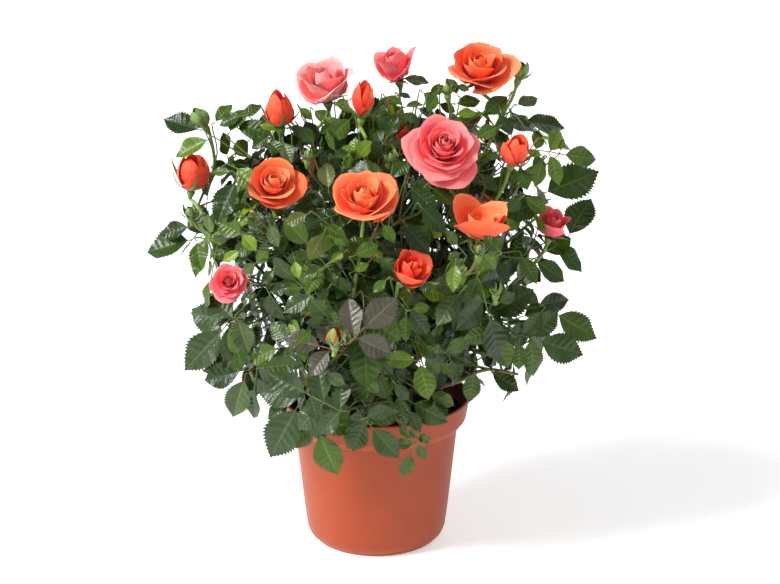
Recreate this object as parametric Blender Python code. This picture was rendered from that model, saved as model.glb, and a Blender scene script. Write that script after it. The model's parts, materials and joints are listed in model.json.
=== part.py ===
"""A miniature rose bush in its plastic nursery pot, at real size, in metres, +Z up.

The origin is the middle of the pot's flat underside, and -Y is the side the bush is shown from.
The pot holds its soil. A short stem stands on the soil, and canes rise from it, each to one mass
of foliage. A mass is one solid: a stem that branches to its blooms and compound leaves by a
seeded rule, and that keeps to its own space.
"""

import math
import random
from collections import namedtuple

import bmesh
import bpy
import numpy as np
from mathutils import Matrix, Vector

# ---------------------------------------------------------------- pot, soil and short stem
GAP = 0.0003
POT_HEIGHT = 0.095
RIM_RADIUS = 0.0600
RIM_BAND = 0.014
RIM_BAND_FOOT_RADIUS = 0.0576
SHOULDER_DROP = 0.0055
BODY_TOP_RADIUS = 0.0522
BODY_FOOT_RADIUS = 0.0450
BODY_FOOT_HEIGHT = 0.0080
FOOT_RADIUS = 0.0405
POT_WALL = 0.0018
POT_FLOOR = 0.0025
POT_SEGMENTS = 32
NOTCH_AZIMUTHS = (-152.0, -6.0, 102.0)
NOTCH_WIDTH = 0.014
NOTCH_HEIGHT = 0.006
NOTCH_TOP_SHARE = 0.8
SOIL_TOP = 0.083
SOIL_DOME = 0.0015
SOIL_DOME_SHARE = 0.6
STEM_FOOT_RADIUS = 0.0085
STEM_NECK_RADIUS = 0.0078
STEM_HEAD_RADIUS = 0.0100
STEM_NECK_HEIGHT = 0.004
STEM_LEAN = (0.0010, -0.0012)
STEM_HEAD_SHARE = 0.55
STEM_HEAD_ANGLES = (-28, 0, 24, 48, 70)
STEM_SEGMENTS = 14

# ---------------------------------------------------------------- the crown
CROWN_MIDDLE = np.array((0.0, 0.0, 0.185))
CROWN_DEPTH = 0.95
# Height above the floor and how far the leaf tips reach from the axis there.
CROWN_PROFILE = (
    (0.074, 0.062),
    (0.088, 0.084),
    (0.105, 0.104),
    (0.135, 0.122),
    (0.165, 0.118),
    (0.200, 0.130),
    (0.240, 0.134),
    (0.268, 0.122),
    (0.286, 0.092),
    (0.298, 0.045),
    (0.301, 0.0),
)
CROWN_SEED = 20
CROWN_FLATNESS = 1.25
FARTHEST_REACH = 0.25
HALVINGS = 24
GOLDEN_ANGLE = math.pi * (3 - math.sqrt(5))

# Each mass: azimuth in degrees (-90 is the front), distance from the axis, height, and its seed.
Place = namedtuple("Place", "azimuth spread height seed")
MASSES = {
    "low_left": Place(206, 0.086, 0.130, 1),
    "low_front": Place(266, 0.082, 0.114, 2),
    "low_right": Place(-26, 0.090, 0.128, 3),
    "low_back_right": Place(52, 0.086, 0.132, 4),
    "low_back_left": Place(126, 0.086, 0.130, 5),
    "mid_left": Place(196, 0.090, 0.203, 6),
    "mid_front": Place(260, 0.086, 0.178, 7),
    "mid_front_right": Place(-46, 0.086, 0.192, 8),
    "mid_right": Place(6, 0.092, 0.205, 9),
    "mid_back": Place(90, 0.086, 0.200, 10),
    "top_left": Place(160, 0.070, 0.262, 11),
    "top_front": Place(262, 0.036, 0.262, 12),
    "top_right": Place(0, 0.072, 0.266, 15),
    "top_back": Place(84, 0.056, 0.266, 14),
}
# How far from upright each tier's canes leave the short stem, in degrees.
CANE_SPLAY = {"low": 76.0, "mid": 50.0, "top": 25.0}
CANE_SHARE = 0.74
CANE_FOOT_RADIUS = 0.0018
CANE_TIP_RADIUS = 0.0012
CANE_LIFT = 0.03
CANE_STEPS = 5
CANE_SIDES = 5
STEM_REACH = 0.0088
STEM_LIFT = 0.6
STEM_STEPS = 3
STEM_SIDES = 4
TWIG_RADIUS = 0.0009
TWIG_STEPS = 2
TWIG_SINK = 0.0012
STALK_RADIUS = 0.00065
STALK_FOOT_RADIUS = 0.000715
STALK_TIP_RADIUS = 0.00052
TWIG_TAPER = 0.8
TWIG_SIDES = 3
LONGEST_STALK = 0.034
TWIG_SHORT_OF_LEAF = 0.020
DROP_COST = 0.6
FIRST_JOINT = 0.006

# ---------------------------------------------------------------- blooms and leaves
Bloom = namedtuple("Bloom", "form hue middle facing radius")
BLOOMS = (
    Bloom("half", "pink", (-0.031, 0.010, 0.295), (-0.15, -0.35, 0.93), 0.018),
    Bloom("bud", "orange", (-0.058, -0.010, 0.281), (-0.05, -0.20, 0.98), 0.0105),
    Bloom("bud", "orange", (-0.008, -0.025, 0.290), (0.05, -0.10, 1.00), 0.0070),
    Bloom("half", "pink", (0.013, 0.025, 0.303), (0.10, -0.10, 1.00), 0.0115),
    Bloom("open", "orange", (0.066, 0.000, 0.302), (0.05, -0.80, 0.60), 0.0210),
    Bloom("bud", "orange", (-0.111, -0.010, 0.242), (0.10, -0.35, 0.93), 0.0110),
    Bloom("open", "orange", (-0.057, -0.060, 0.246), (0.00, -0.80, 0.60), 0.0180),
    Bloom("open", "orange", (-0.005, -0.080, 0.242), (0.00, -0.75, 0.65), 0.0205),
    Bloom("full", "pink", (0.037, -0.055, 0.264), (0.05, -0.80, 0.60), 0.0255),
    Bloom("bud", "orange", (0.083, -0.040, 0.262), (0.05, -0.50, 0.85), 0.0090),
    Bloom("half", "orange", (0.061, -0.075, 0.231), (0.10, -0.30, 0.95), 0.0170),
    Bloom("half", "pink", (0.111, -0.020, 0.213), (0.15, -0.30, 0.95), 0.0100),
    Bloom("open", "pink", (-0.087, -0.060, 0.187), (-0.15, -0.90, 0.40), 0.0125),
    Bloom("half", "orange", (0.021, -0.095, 0.204), (0.45, -0.60, 0.65), 0.0130),
    Bloom("green", "green", (-0.023, -0.100, 0.166), (0.00, -0.10, 1.00), 0.0045),
    Bloom("green", "green", (-0.108, 0.010, 0.271), (-0.30, 0.00, 0.95), 0.0050),
    Bloom("green", "green", (0.089, 0.010, 0.301), (0.15, 0.00, 1.00), 0.0050),
    Bloom("green", "green", (0.071, -0.080, 0.190), (0.10, -0.20, 1.00), 0.0045),
    Bloom("full", "pink", (0.042, 0.082, 0.240), (0.30, 0.80, 0.50), 0.0235),
    Bloom("open", "orange", (-0.040, 0.068, 0.268), (-0.25, 0.70, 0.65), 0.0200),
    Bloom("half", "orange", (0.092, 0.048, 0.262), (0.50, 0.40, 0.75), 0.0150),
    Bloom("bud", "pink", (-0.088, 0.062, 0.244), (-0.55, 0.40, 0.75), 0.0100),
    Bloom("open", "orange", (0.004, 0.112, 0.200), (0.05, 0.90, 0.40), 0.0180),
    Bloom("bud", "orange", (-0.082, 0.088, 0.190), (-0.40, 0.70, 0.60), 0.0095),
    Bloom("half", "pink", (0.010, 0.066, 0.292), (0.05, 0.25, 0.95), 0.0140),
    Bloom("bud", "orange", (0.104, 0.052, 0.196), (0.60, 0.40, 0.70), 0.0095),
)
# A bloom's height against its radius, and how much of it is below its middle.
BLOOM_HEIGHT = {"full": 1.15, "open": 1.20, "half": 1.55, "bud": 2.10, "green": 2.30}
BLOOM_SINK = 0.55
STALK_IN_BLOOM = 0.06
# (share of the radius, share of the height) from the neck to the crown of the bloom.
BLOOM_OUTLINE = {
    "full": ((0.10, 0.00), (0.62, 0.22), (1.00, 0.62), (0.86, 0.88), (0.40, 1.00)),
    "open": ((0.12, 0.00), (0.58, 0.22), (1.00, 0.66), (0.80, 0.90), (0.35, 0.94)),
    "half": ((0.20, 0.00), (0.66, 0.22), (0.82, 0.55), (1.00, 0.90), (0.50, 1.00)),
    "bud": ((0.30, 0.00), (0.90, 0.24), (1.00, 0.45), (0.62, 0.80), (0.16, 1.00)),
    "green": ((0.40, 0.00), (1.00, 0.30), (0.80, 0.60), (0.20, 1.00)),
}
BLOOM_SEGMENTS = {"full": 10, "open": 10, "half": 8, "bud": 6, "green": 4}
BLOOM_LOBE = 0.07
BLOOM_CLEARANCE = 0.002
BLOOM_OUTLOOK = 0.028
# Blooms nearer the front than this look out to the front as well, and the others to the back.
OUTLOOK_PARTING = 0.03
OUTLOOK_PULL = 0.9
OUTLOOK_LIFT = 0.3
BLOOM_STALK_FOOT_RADIUS = 0.00108
BLOOM_STALK_RADIUS = 0.0011
BLOOM_STALK_TURN = 0.6
BLOOM_STALK_LIFT = 0.8

# The leaves whose tips make the outline: tip, the way it points, length of its end leaflet.
Spray = namedtuple("Spray", "tip way length")
SPRAYS = (
    Spray((-0.130, 0.010, 0.270), (-1.00, 0.00, 0.10), 0.029),
    Spray((-0.143, -0.010, 0.194), (-0.95, -0.10, -0.15), 0.031),
    Spray((-0.116, -0.060, 0.131), (-0.75, -0.20, -0.60), 0.034),
    Spray((-0.107, -0.030, 0.113), (-0.85, -0.10, -0.45), 0.030),
    Spray((-0.088, -0.050, 0.098), (-0.30, -0.10, -0.95), 0.026),
    Spray((-0.064, -0.090, 0.085), (-0.40, -0.20, -0.90), 0.036),
    Spray((-0.028, -0.085, 0.073), (0.15, -0.25, -1.00), 0.029),
    Spray((0.017, -0.086, 0.072), (0.00, -0.25, -1.00), 0.019),
    Spray((0.089, -0.040, 0.112), (0.75, -0.10, -0.60), 0.028),
    Spray((0.127, -0.040, 0.134), (0.95, -0.15, -0.25), 0.032),
    Spray((0.139, -0.010, 0.136), (0.90, 0.00, -0.40), 0.030),
    Spray((0.132, 0.000, 0.176), (0.60, -0.10, -0.75), 0.030),
    Spray((0.135, 0.010, 0.222), (0.55, 0.00, 0.80), 0.028),
    Spray((0.140, 0.010, 0.240), (0.90, 0.00, 0.35), 0.034),
    Spray((0.139, 0.000, 0.248), (1.00, 0.00, 0.05), 0.024),
    Spray((0.120, 0.020, 0.265), (0.95, 0.00, 0.05), 0.031),
    Spray((-0.052, -0.112, 0.148), (-0.55, -0.40, -0.75), 0.031),
    Spray((-0.004, -0.120, 0.140), (0.05, -0.45, -0.90), 0.032),
    Spray((-0.030, -0.112, 0.190), (-0.45, -0.50, -0.70), 0.028),
    Spray((0.046, -0.116, 0.156), (0.35, -0.45, -0.80), 0.030),
    Spray((0.010, -0.104, 0.098), (0.25, -0.40, -0.90), 0.027),
)
SPRAY_FACE_PULL = (0.0, -0.35, 0.75)
# Layers of leaf places, each a golden-angle spiral over the crown from its lowest level up.
Layer = namedtuple("Layer", "count depth turn lowest")
LAYERS = (
    Layer(72, 1.00, 0.0, -0.82),
    Layer(26, 0.88, 0.9, 0.10),
    Layer(26, 0.74, 1.9, -0.35),
)
LEAFLET_LENGTHS = (0.022, 0.031)
LEAFLET_WIDTH = 0.76
LEAFLET_GROWTH = 1.12
LEAFLET_THICKNESS = 0.0009
LEAFLET_WIDEST = 0.42
LEAFLET_FOLD = 0.10
LEAFLET_ROOT = 0.0002
LEAFLET_MIDDLE = 0.45
# Places on a leaflet's outline and midrib that are tested: share of length, share of half width.
LEAFLET_TESTS = ((0, 0), (0.2, 0.5), (0.42, 1), (0.7, 0.55), (1, 0), (0.2, 0), (0.6, 0), (0.8, 0))
STALK_PAST_LEAFLET = 0.0004
# Pairs of leaflets below the end one: place along the rachis, length and angle in degrees.
Pair = namedtuple("Pair", "place length angle")
PAIRS = (Pair(0.52, 0.84, 60.0), Pair(0.05, 0.66, 70.0))
PAIR_ANGLE_SPREAD = 8.0
PAIR_ROLL = 0.25
PAIR_DROOP = 0.10
RACHIS_SHARE = 0.75
ONE_PAIR_RACHIS = 0.55
CELL_MARGIN = 0.0007
CANE_MARGIN = 0.0006
POT_MARGIN = 0.0016
LEAFLET_CANE_MARGIN = 0.0012
LEAFLET_POT_MARGIN = 0.0004
CROWDING = 0.0070
FACES_KEPT = 0.60
LEAST_LEAFLETS = 3
LEAF_TRIES = 30
# How later tries at one place differ: shorter leaves, further in, and more of one pair.
SMALLEST_TRY = 0.35
FIRST_DROP_BACK = 0.05
DROP_BACK_GROWTH = 0.15
FULL_LEAF_CHANCE = 0.8
FULL_LEAF_LOSS = 0.5
LEAF_OUTWARDS = (0.35, 0.75)
LEAF_SIDEWAYS = 0.8
LEAF_DROOP = 0.22
LEAF_FACE_LIFT = (0.3, 0.9)
LEAF_MIDDLE = 1.0

# ---------------------------------------------------------------- colours
COLOURS = {
    "terracotta": ((0.52, 0.17, 0.075), 0.45),
    "soil": ((0.030, 0.022, 0.016), 0.95),
    "bark": ((0.20, 0.27, 0.09), 0.60),
    "leaf": ((0.045, 0.115, 0.030), 0.45),
    "orange": ((0.86, 0.12, 0.03), 0.55),
    "pink": ((0.80, 0.12, 0.14), 0.55),
    "green": ((0.13, 0.22, 0.05), 0.55),
}
FOLIAGE_SLOTS = ("leaf", "orange", "pink", "green")
SMOOTH_ANGLE = math.radians(38)


# ---------------------------------------------------------------- vectors and shapes
def unit(vector):
    vector = np.asarray(vector, float)
    return vector / np.linalg.norm(vector)


def round_the_axis(azimuth, spread, height):
    angle = math.radians(azimuth)
    return np.array((math.cos(angle) * spread, math.sin(angle) * spread, height))


def bend(start, start_way, end, end_way, steps):
    """Points of a cubic curve from start to end that leaves and arrives the ways given."""
    pull = np.linalg.norm(end - start) / 3
    controls = np.array((start, start + unit(start_way) * pull, end - unit(end_way) * pull, end))
    points = []
    for step in range(steps + 1):
        t = step / steps
        u = 1 - t
        weights = np.array((u**3, 3 * u * u * t, 3 * u * t * t, t**3))
        points.append(weights @ controls)
    return np.array(points)


def tube(points, radii, sides, up=(0.31, 0.17, 0.93)):
    """Vertices and faces of a closed tube along points, with flat caps and a corner towards up."""
    ways = np.gradient(points, axis=0)
    side = np.array(up)
    vertices = []
    for point, way, radius in zip(points, ways, radii):
        way = unit(way)
        side = unit(side - way * (side @ way))
        other = np.cross(way, side)
        for corner in range(sides):
            angle = math.tau * corner / sides
            vertices.append(point + radius * (math.cos(angle) * side + math.sin(angle) * other))
    faces = []
    for ring in range(len(points) - 1):
        for corner in range(sides):
            here = ring * sides
            after = (corner + 1) % sides
            above = here + sides
            faces.append((here + corner, here + after, above + after, above + corner))
    faces.append(tuple(range(sides))[::-1])
    faces.append(tuple(range(len(vertices) - sides, len(vertices))))
    return vertices, faces


def turned(outline, segments, lobe=0.0):
    """Vertices and faces of a solid turned round Z from (radius, height) points, bottom first."""
    vertices = []
    for radius, height in outline:
        for corner in range(segments):
            angle = math.tau * corner / segments
            swell = 1 + lobe * math.cos(segments / 2 * angle)
            spread = radius * swell
            vertices.append((spread * math.cos(angle), spread * math.sin(angle), height))
    faces = []
    for ring in range(len(outline) - 1):
        for corner in range(segments):
            here = ring * segments
            after = (corner + 1) % segments
            above = here + segments
            faces.append((here + corner, here + after, above + after, above + corner))
    faces.append(tuple(range(segments))[::-1])
    faces.append(tuple(range(len(vertices) - segments, len(vertices))))
    return vertices, faces


def leaflet_shape(leaflet):
    """A folded leaflet of six faces: a keel below, and a ridge above it at the widest place."""
    side = np.cross(leaflet.face, leaflet.way)
    root = leaflet.base - leaflet.way * LEAFLET_ROOT
    widest = leaflet.base + leaflet.way * leaflet.length * LEAFLET_WIDEST
    half = side * leaflet.length * LEAFLET_WIDTH / 2
    lift = leaflet.face * leaflet.length * LEAFLET_WIDTH * LEAFLET_FOLD
    tip = leaflet.base + leaflet.way * leaflet.length
    ridge = widest + leaflet.face * LEAFLET_THICKNESS
    vertices = [root, widest + half + lift, tip, widest - half + lift, ridge]
    faces = [(0, 2, 1), (0, 3, 2), (0, 1, 4), (1, 2, 4), (2, 3, 4), (3, 0, 4)]
    return vertices, faces


def new_object(name, vertices, faces, material_names, slot=0):
    mesh = bpy.data.meshes.new(name)
    mesh.from_pydata([tuple(vertex) for vertex in vertices], [], faces)
    shape = bmesh.new()
    shape.from_mesh(mesh)
    bmesh.ops.triangulate(shape, faces=[face for face in shape.faces if len(face.verts) > 4])
    bmesh.ops.recalc_face_normals(shape, faces=shape.faces)
    shape.to_mesh(mesh)
    shape.free()
    for material_name in material_names:
        mesh.materials.append(material(material_name))
    mesh.polygons.foreach_set("material_index", [slot] * len(mesh.polygons))
    obj = bpy.data.objects.new(name, mesh)
    bpy.context.scene.collection.objects.link(obj)
    return obj


def material(name):
    if name in bpy.data.materials:
        return bpy.data.materials[name]
    colour, roughness = COLOURS[name]
    made = bpy.data.materials.new(name)
    made.use_nodes = True
    shader = made.node_tree.nodes["Principled BSDF"]
    shader.inputs["Base Color"].default_value = (*colour, 1.0)
    shader.inputs["Roughness"].default_value = roughness
    made.diffuse_color = (*colour, 1.0)
    return made


def shade(obj):
    obj.data.shade_smooth()
    obj.data.set_sharp_from_angle(angle=SMOOTH_ANGLE)


def apply_modifiers(obj):
    graph = bpy.context.evaluated_depsgraph_get()
    made = bpy.data.meshes.new_from_object(obj.evaluated_get(graph))
    obj.modifiers.clear()
    obj.data = made


# ---------------------------------------------------------------- pot, soil and short stem
def pot_outline():
    """The pot's half section: up the outside from the underside, and down the inside to the floor."""
    shoulder = POT_HEIGHT - RIM_BAND
    body_top = shoulder - SHOULDER_DROP
    outside = [
        (FOOT_RADIUS - 0.0008, 0.0),
        (FOOT_RADIUS, 0.0008),
        (FOOT_RADIUS + 0.0024, 0.0036),
        (BODY_FOOT_RADIUS, BODY_FOOT_HEIGHT),
        (BODY_TOP_RADIUS, body_top),
        (BODY_TOP_RADIUS + 0.0022, body_top + 0.0012),
        (RIM_BAND_FOOT_RADIUS, shoulder),
        (RIM_RADIUS, POT_HEIGHT - 0.0008),
        (RIM_RADIUS - 0.0007, POT_HEIGHT),
    ]
    inside = [
        (RIM_RADIUS - POT_WALL, POT_HEIGHT - 0.0006),
        (RIM_BAND_FOOT_RADIUS - POT_WALL, shoulder),
        (BODY_TOP_RADIUS - POT_WALL, body_top),
        (BODY_FOOT_RADIUS - POT_WALL, BODY_FOOT_HEIGHT),
        (FOOT_RADIUS - POT_WALL, POT_FLOOR),
    ]
    return outside, inside


def make_pot():
    outside, inside = pot_outline()
    vertices, faces = turned(outside + inside, POT_SEGMENTS)
    pot = new_object("pot", vertices, faces, ("terracotta",))
    for number, azimuth in enumerate(NOTCH_AZIMUTHS):
        cutter = notch_cutter(number, azimuth)
        cut = pot.modifiers.new("notch_" + str(number), "BOOLEAN")
        cut.operation = "DIFFERENCE"
        cut.object = cutter
    shade(pot)
    return pot


def notch_cutter(number, azimuth):
    """An upright slot across the pot's lower edge, narrower at its top."""
    near, far = FOOT_RADIUS - 0.003, FOOT_RADIUS + 0.010
    half = NOTCH_WIDTH / 2
    top = half * NOTCH_TOP_SHARE
    section = ((-half, -0.002), (half, -0.002), (top, NOTCH_HEIGHT), (-top, NOTCH_HEIGHT))
    vertices = [(reach, across, height) for reach in (near, far) for across, height in section]
    faces = [(0, 1, 2, 3), (4, 7, 6, 5), (0, 4, 5, 1), (1, 5, 6, 2), (2, 6, 7, 3), (3, 7, 4, 0)]
    cutter = new_object("notch_cutter_" + str(number), vertices, faces, ())
    cutter.rotation_euler.z = math.radians(azimuth)
    cutter.hide_render = True
    cutter.display_type = "WIRE"
    return cutter


def make_soil():
    inside = pot_outline()[1]
    wall = [(radius - GAP, height) for radius, height in reversed(inside)]
    shoulder = POT_HEIGHT - RIM_BAND
    slope = (inside[0][0] - inside[1][0]) / (inside[0][1] - inside[1][1])
    edge = inside[1][0] + (SOIL_TOP - shoulder) * slope - GAP
    outline = [(wall[0][0], POT_FLOOR + GAP)]
    outline += wall[1:4]
    outline.append((edge, SOIL_TOP))
    outline.append((edge * SOIL_DOME_SHARE, SOIL_TOP + SOIL_DOME))
    outline.append((STEM_FOOT_RADIUS, SOIL_TOP + SOIL_DOME))
    vertices, faces = turned(outline, POT_SEGMENTS)
    soil = new_object("soil", vertices, faces, ("soil",))
    shade(soil)
    return soil


def stem_head():
    """The middle of the knot that the canes rise from."""
    foot = SOIL_TOP + SOIL_DOME + GAP
    rise = STEM_NECK_HEIGHT + STEM_HEAD_RADIUS * STEM_HEAD_SHARE
    return np.array((*STEM_LEAN, foot + rise))


def make_short_stem():
    foot = SOIL_TOP + SOIL_DOME + GAP
    head = stem_head()
    outline = [(STEM_FOOT_RADIUS, foot), (STEM_NECK_RADIUS, foot + STEM_NECK_HEIGHT * 0.5)]
    for degrees in STEM_HEAD_ANGLES:
        angle = math.radians(degrees)
        height = head[2] + STEM_HEAD_RADIUS * math.sin(angle)
        outline.append((STEM_HEAD_RADIUS * math.cos(angle), height))
    vertices, faces = turned(outline, STEM_SEGMENTS)
    rise = head[2] - foot
    leaning = []
    for x, y, z in vertices:
        share = min(1.0, (z - foot) / rise)
        leaning.append((x + STEM_LEAN[0] * share, y + STEM_LEAN[1] * share, z))
    stem = new_object("short_stem", leaning, faces, ("bark",))
    shade(stem)
    return stem


# ---------------------------------------------------------------- canes
Limb = namedtuple("Limb", "points radii")


def mass_middle(name):
    place = MASSES[name]
    return round_the_axis(place.azimuth, place.spread, place.height)


def cane_limb(name):
    """The cane that carries a mass: from the short stem to where it enters the mass."""
    place = MASSES[name]
    splay = math.radians(CANE_SPLAY[name.split("_")[0]])
    outward = round_the_axis(place.azimuth, 1.0, 0.0)
    way = outward * math.sin(splay) + np.array((0.0, 0.0, math.cos(splay)))
    start = stem_head() + way * (STEM_HEAD_RADIUS + GAP)
    middle = mass_middle(name)
    tip = start + (middle - start) * CANE_SHARE
    points = bend(start, way, tip, middle - start + np.array((0.0, 0.0, CANE_LIFT)), CANE_STEPS)
    radii = np.linspace(CANE_FOOT_RADIUS, CANE_TIP_RADIUS, CANE_STEPS + 1)
    return Limb(points, radii)


def make_cane(name, limb):
    vertices, faces = tube(limb.points, limb.radii, CANE_SIDES)
    cane = new_object("cane_" + name, vertices, faces, ("bark",))
    shade(cane)
    return cane


# ---------------------------------------------------------------- growing the foliage
Leaflet = namedtuple("Leaflet", "base way face length")
Leaf = namedtuple("Leaf", "stalk leaflets")


def crown_reach(height):
    heights, reaches = zip(*CROWN_PROFILE)
    return float(np.interp(height, heights, reaches, left=0.0, right=0.0))


def crown_edge(way):
    """The point of the crown's outline seen from its middle the way given."""
    near, far = 0.0, FARTHEST_REACH
    for _ in range(HALVINGS):
        here = (near + far) / 2
        point = CROWN_MIDDLE + way * here
        if math.hypot(point[0], point[1] / CROWN_DEPTH) < crown_reach(point[2]):
            near = here
        else:
            far = here
    return CROWN_MIDDLE + way * near


def crown_normal(point):
    x, y, z = point - CROWN_MIDDLE
    return unit((x, y / CROWN_DEPTH**2, z * CROWN_FLATNESS))


class Crown:
    """Holds every mass's seeds and limbs, and says whether a new piece has room."""

    def __init__(self):
        self.names = list(MASSES)
        self.canes = {name: cane_limb(name) for name in self.names}
        self.blooms = {name: [] for name in self.names}
        for bloom in BLOOMS:
            self.blooms[self.nearest_mass(bloom.middle)].append(bloom)
        self.seeds = []
        self.owners = []
        for index, name in enumerate(self.names):
            self.seeds.append(mass_middle(name))
            self.owners.append(index)
            for bloom in self.blooms[name]:
                self.seeds.append(np.array(bloom.middle))
                self.owners.append(index)
        self.seeds = np.array(self.seeds)
        self.owners = np.array(self.owners)
        limbs = self.canes.values()
        self.cane_starts = np.concatenate([limb.points[:-1] for limb in limbs])
        self.cane_ends = np.concatenate([limb.points[1:] for limb in limbs])
        self.cane_radii = np.concatenate([limb.radii[:-1] for limb in limbs])
        self.leaflet_middles = []

    def nearest_mass(self, point):
        return min(self.names, key=lambda name: np.linalg.norm(mass_middle(name) - np.asarray(point)))

    def cell_of(self, point):
        return self.names[self.owners[np.linalg.norm(self.seeds - point, axis=1).argmin()]]

    def keeps_to_cell(self, points, name):
        index = self.names.index(name)
        away = np.linalg.norm(points[:, None, :] - self.seeds[None, :, :], axis=2)
        own = np.where(self.owners == index, away, np.inf).min(axis=1)
        other = np.where(self.owners == index, np.inf, away).min(axis=1)
        return bool((other - own > 2 * CELL_MARGIN).all())

    def clear_of_canes(self, points, radius):
        spans = self.cane_ends - self.cane_starts
        lengths = (spans**2).sum(axis=1)
        shares = ((points[:, None, :] - self.cane_starts) * spans).sum(axis=2) / lengths
        nearest = self.cane_starts + np.clip(shares, 0, 1)[:, :, None] * spans
        away = np.linalg.norm(points[:, None, :] - nearest, axis=2)
        return bool((away > self.cane_radii + radius + CANE_MARGIN).all())

    def clear_of_pot(self, points, radius):
        low = points[:, 2] < POT_HEIGHT + POT_MARGIN + radius
        spread = np.hypot(points[:, 0], points[:, 1])
        return bool((~low | (spread > RIM_RADIUS + POT_MARGIN + radius)).all())

    def clear_of_blooms(self, points):
        """No leaf stands close round a bloom, or between it and the side that it looks out to."""
        for bloom in BLOOMS:
            if bloom.form == "green":
                continue
            middle = np.array(bloom.middle)
            pull = math.copysign(OUTLOOK_PULL, middle[1] - OUTLOOK_PARTING)
            way = unit(unit(bloom.facing) + np.array((0.0, pull, OUTLOOK_LIFT)))
            along = np.clip((points - middle) @ way, 0.0, BLOOM_OUTLOOK)
            away = np.linalg.norm(points - middle - along[:, None] * way, axis=1)
            if (away < bloom.radius + BLOOM_CLEARANCE).any():
                return False
        return True

    def room_for_limb(self, points, radius, name):
        fine = np.concatenate([points, (points[:-1] + points[1:]) / 2])
        return (
            self.keeps_to_cell(fine, name)
            and self.clear_of_canes(fine, radius)
            and self.clear_of_pot(fine, radius)
        )

    def room_for_leaflet(self, leaflet, name):
        side = np.cross(leaflet.face, leaflet.way)
        lift = leaflet.face * leaflet.length * LEAFLET_WIDTH * LEAFLET_FOLD
        points = []
        for along, across in LEAFLET_TESTS:
            spine = leaflet.base + leaflet.way * leaflet.length * along
            for hand in (1, -1):
                reach = leaflet.length * LEAFLET_WIDTH / 2 * across * hand
                points.append(spine + side * reach + lift * across)
        points = np.array(points)
        middle = leaflet.base + leaflet.way * leaflet.length * LEAFLET_MIDDLE
        crowded = any(np.linalg.norm(middle - other) < CROWDING for other in self.leaflet_middles)
        return (
            not crowded
            and self.keeps_to_cell(points, name)
            and self.clear_of_canes(points, LEAFLET_CANE_MARGIN)
            and self.clear_of_pot(points, LEAFLET_POT_MARGIN)
            and self.clear_of_blooms(points)
        )


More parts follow.
